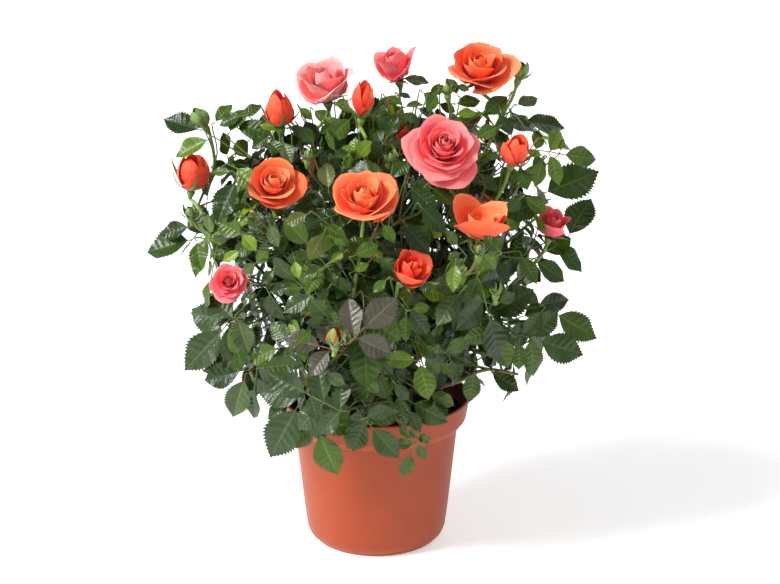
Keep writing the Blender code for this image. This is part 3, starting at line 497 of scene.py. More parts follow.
    def room_for_fine_leaflet(self, leaflet):
        if self.setting:
            return self.clear_of_pot(np.array((leaflet.base, leaflet.at(1))), 0.0)
        spine = np.array([leaflet.at(place) for place in FINE_TESTS])
        away = np.linalg.norm(np.array(self.leaflet_middles) - leaflet.at(LEAFLET_MIDDLE), axis=1)
        tip = leaflet.at(1) - CROWN_MIDDLE
        edge = crown_edge(unit(tip)) - CROWN_MIDDLE
        return bool(
            away.min() > FINE_CROWDING
            and np.linalg.norm(tip) < np.linalg.norm(edge) * FINE_REACH
            and self.clear_of_canes(spine, LEAFLET_CANE_MARGIN)
            and self.clear_of_pot(spine, FINE_POT_MARGIN)
            and self.clear_of_blooms(spine)
        )


class Mass:
    """One mass of foliage: its limbs, its leaves, and the joints that more can grow from."""

    def __init__(self, crown, name):
        self.crown = crown
        self.name = name
        self.random = random.Random(MASSES[name].seed)
        self.limbs = []
        self.leaves = []
        self.joints = []
        self.buds = []
        cane = crown.canes[name]
        way = unit(cane.points[-1] - cane.points[-2])
        start = cane.points[-1] + way * GAP
        outward = crown_normal(mass_middle(name))
        end = mass_middle(name) + outward * STEM_REACH
        points = bend(start, way, end, outward + np.array((0.0, 0.0, STEM_LIFT)), STEM_STEPS)
        self.add_limb(Limb(points, np.linspace(CANE_TIP_RADIUS, TWIG_RADIUS, len(points))), FIRST_JOINT)
        for bloom in crown.blooms[name]:
            self.grow_bloom_stalk(bloom)

    def add_limb(self, limb, bare=0.0):
        self.limbs.append(limb)
        for place, point in enumerate(limb.points):
            if np.linalg.norm(point - limb.points[0]) < bare:
                continue
            before = limb.points[max(0, place - 1)]
            after = limb.points[min(len(limb.points) - 1, place + 1)]
            self.joints.append((point, unit(after - before)))

    def nearest_joint(self, point):
        """The joint a twig to the point would leave from: near it, and not above it."""

        def cost(joint):
            drop = max(0.0, joint[0][2] - point[2])
            return np.linalg.norm(point - joint[0]) + drop * DROP_COST

        if self.crown.fine:
            return self.crown.inner_joint(point)
        return min(self.joints, key=cost)

    def grow_bloom_stalk(self, bloom):
        facing = unit(bloom.facing)
        height = BLOOM_HEIGHT[bloom.form] * bloom.radius
        neck = np.array(bloom.middle) - facing * height * (BLOOM_SINK - STALK_IN_BLOOM)
        joint, way = self.nearest_joint(neck)
        joint = joint - way * TWIG_SINK
        upward = facing * BLOOM_STALK_TURN + np.array((0.0, 0.0, BLOOM_STALK_LIFT))
        points = bend(joint, way + unit(neck - joint), neck, upward, STEM_STEPS)
        radii = np.linspace(BLOOM_STALK_FOOT_RADIUS, BLOOM_STALK_RADIUS, len(points))
        self.limbs.append(Limb(points, radii))
        for place in range(1, len(points) - 1):
            self.joints.append((points[place], unit(points[place + 1] - points[place - 1])))

    def grow_leaf(self, tip, way, length, face, pairs):
        """Adds a compound leaf that ends at tip, on a stalk from a joint. True when it had room."""
        way = unit(way)
        face = unit(face - way * (face @ way))
        side = np.cross(face, way)
        rachis = length * RACHIS_SHARE * RACHIS_OF_PAIRS[pairs]
        base = tip - way * length
        crotch = base - way * rachis
        leaflets = []
        wanted = [Leaflet(base, way, face, length)]
        for pair in PAIRS[:pairs]:
            for hand in (1, -1):
                wander = self.random.uniform(-PAIR_ANGLE_SPREAD, PAIR_ANGLE_SPREAD)
                angle = math.radians(pair.angle + wander)
                roll = self.random.uniform(-PAIR_ROLL, PAIR_ROLL)
                spread = way * math.cos(angle) + side * hand * math.sin(angle)
                turned_way = unit(spread - face * PAIR_DROOP)
                turned_face = unit(face + side * roll)
                turned_face = unit(turned_face - turned_way * (turned_face @ turned_way))
                place = crotch + way * rachis * pair.place
                wanted.append(Leaflet(place, turned_way, turned_face, length * pair.length))
        for leaflet in wanted:
            if self.crown.room_for_leaflet(leaflet, self.name):
                leaflets.append(leaflet)
        if len(leaflets) < min(LEAST_LEAFLETS, len(wanted)) or leaflets[0] is not wanted[0]:
            return False
        joint, joint_way = self.nearest_joint(crotch)
        joint = joint - joint_way * TWIG_SINK
        twig = None
        if np.linalg.norm(crotch - joint) > LONGEST_STALK:
            arrival = unit(crotch - joint) + way
            end = crotch - unit(arrival) * TWIG_SHORT_OF_LEAF
            points = bend(joint, joint_way + 2 * unit(end - joint), end, arrival, TWIG_STEPS)
            thick = TWIG_RADIUS * (FINE_TWIG_SHARE if self.crown.fine else 1.0)
            if self.crown.fine:
                end = sunk(joint, crotch, FINE_TWIG_REACH)
                points = np.array((joint, sunk(joint, end, 0.5), end))
            twig = Limb(points, np.linspace(thick, thick * TWIG_TAPER, len(points)))
            if not self.crown.room_for_limb(points, TWIG_RADIUS, self.name):
                return False
            joint = points[-1] - unit(points[-1] - points[-2]) * TWIG_SINK
        stalk = np.array((joint, crotch, base + way * STALK_PAST_LEAFLET))
        if self.crown.fine:
            stalk = np.array((joint, sunk(joint, crotch, 0.5), crotch, base + way * STALK_PAST_LEAFLET))
        if not self.crown.room_for_limb(stalk, STALK_RADIUS, self.name):
            return False
        if twig and self.crown.fine:
            self.limbs.append(twig)
        elif twig:
            self.add_limb(twig)
        stalk = Limb(stalk, np.linspace(STALK_FOOT_RADIUS, STALK_TIP_RADIUS, len(stalk)))
        self.leaves.append(Leaf(stalk, leaflets))
        self.crown.leaflet_middles += [leaflet.at(LEAFLET_MIDDLE) for leaflet in leaflets]
        return True


def grow_crown():
    """Every mass with its blooms, its outline sprays and its leaves."""
    crown = Crown()
    masses = {name: Mass(crown, name) for name in crown.names}
    for spray in SPRAYS:
        tip = np.array(spray.tip)
        way = unit(spray.way)
        mass = masses[crown.cell_of(tip - way * spray.length * LEAF_MIDDLE)]
        face = crown_normal(tip) + np.array(SPRAY_FACE_PULL)
        mass.grow_leaf(tip, way, spray.length, face, len(PAIRS))
    for layer in LAYERS:
        for number in range(layer.count):
            grow_at_place(crown, masses, layer, number)
    return crown, masses


def spiral_way(layer, number):
    """The way outwards to one place of a golden-angle spiral layer."""
    level = 1 - (1 - layer.lowest) * (number + 0.5) / layer.count
    angle = layer.turn + number * GOLDEN_ANGLE
    flat = math.sqrt(1 - level * level)
    return np.array((math.cos(angle) * flat, math.sin(angle) * flat, level))


def square_to(normal, spin):
    """A way square to the normal, turned by the spin from the level one."""
    level_side = unit(np.cross(normal, (0.0, 0.0, 1.0)) + np.array((1e-6, 0.0, 0.0)))
    steep_side = np.cross(level_side, normal)
    return level_side * math.cos(spin) + steep_side * math.sin(spin)


def grow_at_place(crown, masses, layer, number):
    """Tries a few leaves at one place of a spiral layer, and keeps the first that has room."""
    chance = random.Random(CROWN_SEED + number + 1000 * LAYERS.index(layer))
    edge = crown_edge(spiral_way(layer, number))
    for attempt in range(LEAF_TRIES):
        share = 1.0 - chance.random() * (FIRST_DROP_BACK + DROP_BACK_GROWTH * attempt / LEAF_TRIES)
        tip = CROWN_MIDDLE + (edge - CROWN_MIDDLE) * layer.depth * share
        normal = crown_normal(tip)
        shrink = 1 - SMALLEST_TRY * attempt / LEAF_TRIES
        length = chance.uniform(*LEAFLET_LENGTHS) * LEAFLET_GROWTH * shrink
        aside = square_to(normal, chance.uniform(0, math.tau)) * LEAF_SIDEWAYS
        outwards = normal * chance.uniform(*LEAF_OUTWARDS)
        way = unit(outwards + aside - np.array((0.0, 0.0, LEAF_DROOP)))
        face = normal + np.array((0.0, 0.0, chance.uniform(*LEAF_FACE_LIFT)))
        full_leaf = FULL_LEAF_CHANCE - FULL_LEAF_LOSS * attempt / LEAF_TRIES
        pairs = len(PAIRS) if chance.random() < full_leaf else 1
        mass = masses[crown.cell_of(tip - way * length * LEAF_MIDDLE)]
        if mass.grow_leaf(tip, way, length, face, pairs):
            return


# ---------------------------------------------------------------- finer leaves than the source's
FineLayer = namedtuple("FineLayer", "count depth turn lowest lengths")
FINE_LAYERS = (
    FineLayer(110, 0.96, 0.4, -0.90, (0.013, 0.024)),
    FineLayer(100, 0.86, 1.3, -0.92, (0.014, 0.025)),
    FineLayer(90, 0.74, 2.2, -0.94, (0.016, 0.025)),
    FineLayer(56, 0.58, 3.1, -0.94, (0.018, 0.025)),
    FineLayer(26, 0.40, 4.0, -0.60, (0.018, 0.024)),
)
FINE_CROWDING = 0.0054
FINE_WANDER = 0.5
FINE_TIP_WANDER = (0.90, 1.0)
FINE_OUTWARDS = (0.35, 0.85)
FINE_SIDEWAYS = 0.75
FINE_FACE_NORMAL = 0.5
FINE_FACE_RADIAL = 0.6
FINE_FACE_LIFT = (0.2, 0.8)
FINE_FULL_LEAVES = 0.7
FINE_TWIG_SHARE = 0.62
JOINTS_TRIED = 5
SUNK_SHARE = 0.14
FINE_TWIG_REACH = 0.55
JOINTS_ON_LIMB = 10
LOWEST_JOINT = 0.102
INWARD = 0.022
LOWER = 0.010
# Layers of the finer boughs that the finer twigs grow on from.
BoughLayer = namedtuple("BoughLayer", "count depth turn lowest")
BOUGH_LAYERS = (BoughLayer(26, 0.42, 0.7, -0.55), BoughLayer(70, 0.68, 2.0, -0.80))
BOUGH_LIFT = 0.6
BOUGH_STEPS = 3
BOUGH_RADII = (0.0010, 0.0006)
STALK_TESTS = np.array((0.0, 0.2, 0.4, 0.6, 0.8))[:, None]
TOP_OPENING = 0.270
FINE_OUTLOOK = 0.060
FINE_TESTS = (0.05, 0.35, 0.65, 0.95)
FINE_REACH = 1.03
FINE_POT_MARGIN = 0.004
FINE_TRIES = 8
LUMP_SCALE = 2.6
LUMP_SHARES = (0.80, 1.00)
LOWEST_LIFT = -0.45
HIGHEST_LIFT = 0.50


# The leaves that make the plant's picture, as they were read off it, in its pixels to the right
# and down: where the end leaflet's tip and foot are, its tint, how far behind the pot's axis it
# is in millimetres, or None for the crown's surface, how far under that, and its leaflet pairs.
Shown = namedtuple("Shown", "tip_x tip_y foot_x foot_y tint depth inset pairs", defaults=(None, 0, 0))
# The bluish-grey tints of these leaves are painted sheen, the gloss of soft light on them put into their
# base colour.
SHOWN = (
    (163, 117, 201, 130, "dark", 5), (173, 156, 210, 139, "fresh", -20),
    (246, 104, 229, 133, "mid", 0), (262, 104, 240, 118, "dark", 20), (211, 171, 232, 171, "mid", -20),
    (214, 222, 237, 180, "deep", None, 10), (258, 190, 236, 168, "mid", -46),
    (143, 250, 190, 240, "dark", -12, 0, 2), (158, 235, 190, 226, "dark", -22),
    (200, 270, 197, 240, "dark", -35), (277, 248, 269, 223, "painted_sheen_grey"), (257, 250, 241, 233, "young"),
    (222, 262, 242, 250, "young"), (241, 274, 258, 261, "painted_sheen_grey"), (298, 278, 294, 259, "young"),
    (323, 284, 308, 262, "fresh"), (308, 260, 325, 232, "olive"), (226, 222, 238, 214, "mid"),
    (240, 223, 250, 214, "fresh"), (256, 211, 245, 219, "mid"), (229, 211, 246, 205, "mid", None, 3),
    (284, 224, 309, 213, "olive"), (346, 237, 324, 225, "mid"), (206, 292, 234, 319, "painted_sheen_blue", None, 4),
    (182, 371, 223, 329, "painted_sheen_blue", -55, 0, 1), (249, 354, 238, 318, "painted_sheen_grey"),
    (244, 357, 227, 326, "dark", None, 4), (201, 381, 243, 370, "dark", -35, 0, 2),
    (231, 419, 245, 377, "painted_sheen_grey", -50), (262, 396, 262, 368, "dark", -55),
    (262, 371, 307, 394, "painted_sheen_blue", -88, 0, 2), (318, 421, 310, 394, "painted_sheen_blue", -94),
    (330, 411, 312, 387, "painted_sheen_grey", -90), (267, 461, 298, 408, "painted_sheen_blue", -86, 0, 1),
    (266, 420, 290, 402, "dark", -70), (337, 478, 320, 433, "mid", -90, 0, 1),
    (346, 450, 362, 419, "dark", -95), (331, 424, 352, 405, "dark", -92),
    (392, 408, 364, 418, "painted_sheen_blue", -96), (400, 461, 371, 427, "dark", -94, 0, 1),
    (422, 433, 407, 409, "dark", -88), (402, 478, 412, 452, "mid", -86, 0, 2),
    (399, 428, 412, 438, "mid", -84), (431, 440, 414, 437, "mid", -86),
    (469, 404, 474, 370, "mid", -60), (520, 391, 490, 370, "dark", -40),
    (456, 407, 428, 392, "mid", -70), (430, 402, 420, 362, "fresh"), (382, 358, 418, 361, "fresh"),
    (410, 402, 394, 382, "painted_sheen_blue", None, 4), (584, 356, 540, 340, "mid", -45, 0, 1),
    (520, 371, 520, 341, "mid", -65), (510, 370, 495, 332, "mid", -75), (462, 343, 494, 328, "mid"),
    (598, 338, 556, 314, "dark", -12), (525, 338, 543, 310, "mid", -55),
    (571, 300, 537, 306, "dark", -20), (521, 290, 541, 304, "dark", -45),
    (567, 281, 536, 260, "dark", -35), (537, 284, 521, 255, "dark", -55),
    (587, 271, 556, 243, "dark", -8), (517, 293, 496, 303, "painted_sheen_grey", -80),
    (591, 194, 568, 236, "dark", 12), (602, 170, 545, 192, "dark", 4),
    (601, 158, 563, 155, "fresh", -8, 0, 2), (535, 187, 543, 160, "fresh", -35),
    (568, 125, 524, 121, "dark", 22), (540, 127, 502, 120, "dark", 26),
    (508, 285, 497, 258, "dark", -75), (250, 148, 270, 134, "dark", 0), (539, 96, 516, 105, "mid", 15),
    (548, 213, 524, 196, "dark", -45), (508, 211, 522, 197, "dark", -55),
    (527, 191, 519, 166, "dark", -45), (430, 82, 402, 78, "mid", 24), (427, 112, 439, 93, "mid", -12),
    (478, 112, 454, 115, "fresh", -32), (484, 115, 509, 95, "dark", -10),
    (500, 113, 512, 139, "dark", -20), (446, 77, 458, 96, "painted_sheen_grey", -12),
    (470, 90, 453, 86, "painted_sheen_grey", -15), (326, 141, 352, 118, "mid", -20),
    (326, 160, 329, 190, "olive", -50), (345, 167, 388, 178, "mid", -52),
    (436, 326, 461, 292, "painted_sheen_grey", None, 0, 1), (452, 292, 456, 262, "young"),
    (362, 376, 396, 334, "painted_sheen_blue"), (397, 296, 361, 330, "bronze", None, 0, 1),
    (347, 297, 358, 319, "bronze"), (361, 363, 350, 337, "painted_sheen_blue"), (404, 343, 406, 313, "fresh"),
    (430, 306, 409, 310, "mid"), (282, 337, 322, 347, "bronze", None, 0, 1),
    (306, 365, 328, 352, "bronze"), (300, 363, 262, 367, "dark"), (218, 124, 243, 114, "dark", 4),
    (270, 133, 236, 124, "mid", -4), (258, 122, 287, 129, "fresh", -14),
    (233, 103, 214, 124, "mid", 12), (314, 143, 297, 124, "dark", -12),
    (345, 150, 330, 128, "dark", -4), (297, 160, 283, 143, "painted_sheen_grey", -22),
    (286, 157, 268, 141, "dark", -18), (291, 164, 283, 141, "painted_sheen_grey", -30),
    (317, 141, 303, 120, "dark", -10), (350, 150, 330, 159, "dark", -40),
    (411, 97, 396, 93, "dark", 4), (386, 122, 409, 115, "mid", -20), (482, 100, 455, 104, "dark", -5),
    (461, 126, 484, 112, "painted_sheen_blue", -22), (476, 137, 500, 127, "mid", -30),
    (551, 137, 539, 139, "fresh", -20), (526, 150, 544, 157, "fresh", -22),
    (564, 139, 560, 153, "mid", -12), (440, 103, 421, 92, "mid", 2), (376, 118, 388, 100, "dark", 2),
    (350, 112, 336, 103, "mid", -5), (437, 212, 410, 186, "deep", -72),
    (456, 206, 430, 187, "dark", -60), (446, 233, 420, 206, "deep", -88),
    (470, 197, 455, 182, "dark", -50), (500, 190, 478, 172, "dark", -45),
    (520, 181, 500, 165, "dark", -30), (505, 213, 545, 201, "dark", -35),
    (392, 176, 410, 160, "deep", -55), (420, 122, 400, 112, "dark", -4),
    (410, 118, 384, 121, "mid", 0), (445, 84, 428, 96, "dark", -4), (404, 104, 384, 96, "mid", 10),
    (424, 102, 404, 108, "mid", 0), (396, 130, 376, 116, "dark", -10),
    (372, 111, 386, 126, "dark", -6), (436, 117, 416, 108, "dark", 6), (456, 112, 438, 102, "dark", 0),
    (472, 117, 452, 123, "mid", -20), (341, 130, 322, 117, "mid", -4),
    (335, 106, 350, 99, "fresh", -2), (312, 119, 299, 106, "mid", 4), (320, 133, 338, 123, "dark", -8),
    (307, 134, 290, 126, "painted_sheen_grey", -10), (436, 128, 420, 116, "deep", 20),
    (405, 114, 390, 104, "dark", 30), (332, 122, 312, 110, "dark", 30),
    (352, 124, 366, 112, "dark", 20), (345, 387, 325, 371, "painted_sheen_grey"), (352, 402, 373, 385, "dark"),
    (380, 394, 362, 377, "mid"), (371, 374, 381, 347, "dark", None, 3),
    (394, 376, 376, 356, "mid", None, 2), (441, 374, 424, 357, "dark", None, 2),
    (446, 354, 470, 337, "dark"), (453, 374, 436, 361, "mid"), (420, 331, 437, 347, "dark", None, 3),
    (274, 336, 306, 316, "painted_sheen_blue"), (281, 312, 313, 294, "painted_sheen_blue", None, 2),
    (352, 292, 336, 275, "mid", None, 2), (330, 263, 346, 251, "mid"), (369, 262, 352, 273, "fresh"),
    (372, 292, 389, 279, "mid", None, 2), (316, 301, 331, 286, "dark", None, 3),
    (346, 246, 331, 237, "mid"), (394, 270, 378, 257, "dark", None, 2),
    (395, 243, 381, 223, "mid", None, 3), (262, 285, 276, 268, "dark", None, 4),
    (311, 330, 296, 345, "mid", None, 3), (419, 290, 436, 283, "dark", None, 4),
    (470, 300, 478, 275, "dark", None, 2), (495, 270, 482, 252, "dark", None, 2),
    (483, 235, 500, 252, "dark", None, 3), (380, 245, 352, 257, "mid"), (336, 327, 326, 304, "mid"),
    (431, 255, 404, 222, "deep", None, 6),
)
SHOWN_BUDS = (
    Bloom("green", "green", (-0.039, -0.045, 0.261), (0.10, -0.15, 1.00), 0.0034),
    Bloom("green", "green", (0.010, -0.045, 0.260), (-0.45, -0.20, 0.85), 0.0034),
    Bloom("green", "green", (-0.113, -0.020, 0.220), (-0.15, -0.10, 1.00), 0.0036),
    Bloom("green", "green", (0.060, -0.085, 0.215), (0.05, -0.15, 1.00), 0.0042),
    Bloom("green", "green", (0.043, -0.012, 0.294), (-0.10, -0.10, 1.00), 0.0034),
    Bloom("half", "red", (0.0185, -0.016, 0.2625), (-0.30, -0.40, 0.85), 0.0100),
)
SHOWN_CLEARING = 0.0095
SHOWN_FACE = (0.0, -0.85, 0.55)
SHOWN_NORMAL = 0.40
SHOWN_WANDER = (0.42, 0.20, 0.26)
SHOWN_SEED = 7000
SHOWN_DEEPER = (0.003, 0.025)
SHOWN_DEPTH_WANDER = (-0.004, 0.008)
MOST_TILT = (-0.55, 0.65)
TILT_ROUNDS = 4
PICTURE_MIDDLE = (390, 292)
PICTURE_FOCUS = 1762.0
# The blooms in front, where the picture has them. Leaves that start behind one stand before it.
PictureBloom = namedtuple("PictureBloom", "x y radius depth")
PICTURE_BLOOMS = (
    PictureBloom(273, 178, 29, -0.060),
    PictureBloom(362, 193, 33, -0.080),
    PictureBloom(481, 215, 33, -0.075),
    PictureBloom(228, 281, 19, -0.060),
    PictureBloom(411, 269, 23, -0.095),
)
PICTURE_BLOOM_EDGE = 9
BEFORE_BLOOM = 0.020
DEPTH_START = -0.13
DEPTH_STEP = 0.001
DEPTH_STEPS = 150
NEAREST_SURFACE = -0.112
BESIDE_CROWN = 0.02


def finer_boughs(crown, masses):
    """Boughs that go on from the canes and main limbs into the crown, inside its leaves."""
    for layer in BOUGH_LAYERS:
        for number in range(layer.count):
            outward = spiral_way(layer, number)
            end = CROWN_MIDDLE + (crown_edge(outward) - CROWN_MIDDLE) * layer.depth
            foot, way = crown.inner_joint(end)
            end_way = outward + np.array((0.0, 0.0, BOUGH_LIFT))
            points = bend(foot, way + unit(end - foot), end, end_way, BOUGH_STEPS)
            if crown.clear_of_pot(points, 0.0) and crown.clear_of_blooms(points[1:]):
                limb = Limb(points, np.linspace(*BOUGH_RADII, len(points)))
                masses[crown.cell_of(end)].limbs.append(limb)
                crown.add_joints(limb)


def starts_on(points, lost):
    return np.linalg.norm(lost - points[0], axis=1).min() < BEARING_REACH


def steepen_stalks(crown, masses):
    """Gives blooms on nearly level stalks ones that rise steeply. Returns where the old ones were."""
    level = []
    for mass in masses.values():
        for place, bloom in enumerate(crown.blooms[mass.name], 1):
            climb = mass.limbs[place].points[-1] - mass.limbs[place].points[0]
            if climb[2] < LEVEL_CLIMB * math.hypot(*climb[:2]):
                level.append((mass, place, bloom))
    lost = np.concatenate([mass.limbs[place].points[1:] for mass, place, _ in level])
    for mass in masses.values():
        for place, bloom in enumerate(crown.blooms[mass.name], 1):
            known = any(mass is other and place == spot for other, spot, _ in level)
            if not known and starts_on(mass.limbs[place].points, lost):
                level.append((mass, place, bloom))
    lost = np.concatenate([mass.limbs[place].points[1:] for mass, place, _ in level])
    for mass, place, bloom in level:
        mass.limbs[place] = steep_stalk(mass.limbs[place], bloom, BLOOMS.index(bloom), masses, lost)
    return lost


def first_joints(crown, masses):
    """Makes the first joints, on canes, main limbs and stalks, and leads the buds in front to them."""
    front = []
    for mass in masses.values():
        crown.add_joints(crown.canes[mass.name])
        crown.add_joints(mass.limbs[0])
        for place, bloom in enumerate(crown.blooms[mass.name], 1):
            number = BLOOMS.index(bloom)
            if number in FRONT_BUDS:
                front.append((mass, place, bloom_neck(bloom, number)))
            else:
                crown.add_joints(led_to_neck(mass.limbs[place], bloom, number))
    for mass, place, neck in front:
        foot, way = crown.inner_joint(neck - (0.0, 0.0, FRONT_BUD_STALK))
        end_way = np.array(FRONT_BUD_WAY)
        points = bend(foot, way + unit(neck - foot), neck, end_way, FRONT_BUD_STEPS)
        mass.limbs[place] = rerouted(mass.limbs[place], points)


def root_again(crown, masses, lost):
    """Leads what started from a lost stalk to a joint that is there."""

    def rooted(limb):
        if not starts_on(limb.points, lost):
            return limb
        return Limb(np.array((crown.inner_joint(limb.points[1])[0], *limb.points[1:])), limb.radii)

    for mass in masses.values():
        mass.leaves = [leaf._replace(stalk=rooted(leaf.stalk)) for leaf in mass.leaves]
        first = 1 + len(crown.blooms[mass.name])
        mass.limbs[first:] = [rooted(limb) for limb in mass.limbs[first:]]


def picture_point(x, y, depth):
    """The real place of a point of the picture that is so far behind the pot's axis."""
    pitch = math.radians(CAMERA_PITCH)
    forward = np.array((0.0, math.cos(pitch), -math.sin(pitch)))
    upward = np.array((0.0, math.sin(pitch), math.cos(pitch)))
    rightward = np.array((1.0, 0.0, 0.0))
    right, down = x - PICTURE_MIDDLE[0], y - PICTURE_MIDDLE[1]
    ray = forward + rightward * right / PICTURE_FOCUS - upward * down / PICTURE_FOCUS
    return np.array(CAMERA_PLACE) + ray * ((depth - CAMERA_PLACE[1]) / ray[1])


def surface_depth(x, y):
    """How far behind the pot's axis the crown's surface is, at a point of the picture or near it."""
    depths = [DEPTH_START + step * DEPTH_STEP for step in range(DEPTH_STEPS)]
    outside = []
    for depth in depths:
        point = picture_point(x, y, depth)
        outside.append(math.hypot(point[0], point[1] / CROWN_DEPTH) - crown_reach(point[2]))
        if outside[-1] < 0:
            return max(depth, NEAREST_SURFACE)
    return min(max(depths[np.argmin(outside)], -BESIDE_CROWN), BESIDE_CROWN)


def shown_depth(row, number):
    """How far behind the pot's axis a shown leaf is, and whether it may tilt from its tip alone."""
    chance = random.Random(number)
    deeper = chance.uniform(*SHOWN_DEEPER)
    if row.depth is not None:
        return row.depth / 1000 + chance.uniform(*SHOWN_DEPTH_WANDER), False
    for bloom in PICTURE_BLOOMS:
        if math.hypot(row.foot_x - bloom.x, row.foot_y - bloom.y) < bloom.radius + PICTURE_BLOOM_EDGE:
            return bloom.depth - BEFORE_BLOOM, False
    return surface_depth(row.tip_x, row.tip_y) + row.inset / 1000 + deeper, True


def shown_place(row, number):
    """Tip and foot of a shown leaf's end leaflet to the millimetre, tilted to face outwards."""
    depth, from_tip = shown_depth(row, number)
    tip = picture_point(row.tip_x, row.tip_y, depth)
    normal = unit(np.array(SHOWN_FACE) + crown_normal(tip) * SHOWN_NORMAL)
    tilt = 0.0
    for _ in range(TILT_ROUNDS):
        foot = picture_point(row.foot_x, row.foot_y, depth + tilt)
        apart = tip - foot
        flat = math.hypot(apart[0], apart[2])
        tilt = (apart[0] * normal[0] + apart[2] * normal[2]) / normal[1]
        tilt = max(MOST_TILT[0] * flat, min(MOST_TILT[1] * flat, tilt))
    if not from_tip:
        tip = picture_point(row.tip_x, row.tip_y, depth - tilt / 2)
        foot = picture_point(row.foot_x, row.foot_y, depth + tilt / 2)
    return tip.round(3), foot.round(3)


def shown_leaves(crown, masses):
    """Sets the leaves of the picture, in place of those that the rule grew close to them."""
    crown.setting = True
    rows = [Shown(*row) for row in SHOWN]
    places = [shown_place(row, number) for number, row in enumerate(rows)]
    middles = np.array([lerp(foot, tip, LEAFLET_MIDDLE) for tip, foot in places])
    for mass in masses.values():
        kept = []
        for leaf in mass.leaves:
            own = np.array([leaflet.at(LEAFLET_MIDDLE) for leaflet in leaf.leaflets])
            apart = np.linalg.norm(own[:, None] - middles, axis=2).min()
            if apart > SHOWN_CLEARING and own[0, 2] < TOP_OPENING and crown.clear_of_blooms(own):
                kept.append(leaf)
        mass.leaves = kept
    for number, (row, (tip, foot)) in enumerate(zip(rows, places)):
        chance = np.random.default_rng(SHOWN_SEED + number)
        face = np.array(SHOWN_FACE) + crown_normal(tip) * SHOWN_NORMAL
        face += chance.uniform(-1, 1, 3) * np.array(SHOWN_WANDER)
        mass = masses[crown.cell_of(foot)]
        if mass.grow_leaf(tip, tip - foot, float(np.linalg.norm(tip - foot)), face, row.pairs):
            mass.leaves[-1] = mass.leaves[-1]._replace(tint=row.tint)
        else:
            print("no room for shown leaf", number)
    crown.setting = False
    for bud in SHOWN_BUDS:
        mass = masses[crown.nearest_mass(bud.middle)]
        mass.grow_bloom_stalk(bud)
        mass.buds.append(bud)
    crown.leaflet_middles = [
        leaflet.at(LEAFLET_MIDDLE)
        for mass in masses.values()
        for leaf in mass.leaves
        for leaflet in leaf.leaflets
    ]


def lumpiness(outward):
    """How much of the crown's reach the finer leaves fill in this direction."""
    lump = noise.noise(Vector(outward) * LUMP_SCALE + Vector((3.1, 0.7, 5.2)))
    low, high = LUMP_SHARES
    return low + (high - low) * min(1.0, max(0.0, 0.5 + lump))


def finer_leaves(crown, masses):
    """Goes on with the source's rule, in more layers of smaller leaves that may share a space."""
    for index, layer in enumerate(FINE_LAYERS):
        for number in range(layer.count):
            chance = random.Random(CROWN_SEED + number + 1000 * (10 + index))
            grow_finer_at_place(crown, masses, layer, number, chance)


def grow_finer_at_place(crown, masses, layer, number, chance):
    """Tries a few small leaves at one place of a finer layer, and keeps the first that has room."""
    outward = spiral_way(layer, number)
    reach = (crown_edge(outward) - CROWN_MIDDLE) * lumpiness(outward) * layer.depth
    lift = LOWEST_LIFT + (HIGHEST_LIFT - LOWEST_LIFT) * (outward[2] + 1) / 2
    for _ in range(FINE_TRIES):
        tip = CROWN_MIDDLE + reach * chance.uniform(*FINE_TIP_WANDER)
        normal = crown_normal(tip)
        radial = unit((tip[0], tip[1], 1e-6))
        aside = square_to(normal, chance.uniform(0, math.tau)) * FINE_SIDEWAYS
        outwards = normal * chance.uniform(*FINE_OUTWARDS)
        way = unit(outwards + aside + np.array((0.0, 0.0, lift)))
        wander = np.array([chance.uniform(-1, 1) for _ in range(3)]) * FINE_WANDER
        upward = np.array((0.0, 0.0, chance.uniform(*FINE_FACE_LIFT)))
        face = normal * FINE_FACE_NORMAL + radial * FINE_FACE_RADIAL + upward + wander
        length = chance.uniform(*layer.lengths)
        pairs = len(PAIRS) if chance.random() < FINE_FULL_LEAVES else 1
        mass = masses[crown.cell_of(tip - way * length)]
        if mass.grow_leaf(tip, way, length, face, pairs):
            return


# ---------------------------------------------------------------- materials
def add_node(tree, kind, values, links, **settings):
    """A node of this kind, with some of its inputs set and others linked."""
    node = tree.nodes.new("ShaderNode" + kind)
    for name, value in settings.items():
        setattr(node, name, value)
    for name, value in values.items():
        node.inputs[name].default_value = value
    for name, output in links.items():
        tree.links.new(output, node.inputs[name])
    return node


def clouds(tree, coordinates, scale, detail):
    values = {"Scale": scale, "Detail": detail, "Roughness": CLOUD_ROUGHNESS}
    return add_node(tree, "TexNoise", values, {"Vector": coordinates}).outputs["Fac"]


def surface(name, colour, finish):
    """A material of one base colour, with its gloss broken up and a fine relief, by nodes."""
    made = bpy.data.materials.new(name)
    made.use_nodes = True
    made.diffuse_color = (*colour, 1.0)
    tree = made.node_tree
    inputs = tree.nodes["Principled BSDF"].inputs
    inputs["Base Color"].default_value = (*colour, 1.0)
    inputs["Roughness"].default_value = sum(finish.rough) / 2
    inputs["Specular IOR Level"].default_value = finish.specular
    inputs["Sheen Weight"].default_value = finish.sheen
    coordinates = add_node(tree, "TexCoord", {}, {}).outputs["Object"]
    gloss = clouds(tree, coordinates, finish.grain * GLOSS_SCALE, 2.0)
    span = {"From Min": 0.3, "From Max": 0.7, "To Min": finish.rough[0], "To Max": finish.rough[1]}
    roughness = add_node(tree, "MapRange", span, {"Value": gloss}).outputs["Result"]
    tree.links.new(roughness, inputs["Roughness"])
    relief = clouds(tree, coordinates, finish.grain, 3.0)
    if finish.cells:
        cells = add_node(tree, "TexVoronoi", {"Scale": finish.cells}, {"Vector": coordinates})
        both = {0: cells.outputs["Distance"], 2: relief}
        relief = add_node(tree, "Math", {1: CELL_SHARE}, both, operation="MULTIPLY_ADD").outputs["Value"]
    values = {"Strength": RELIEF_STRENGTH, "Distance": finish.relief}
    bump = add_node(tree, "Bump", values, {"Height": relief})
    tree.links.new(bump.outputs["Normal"], inputs["Normal"])
    return made


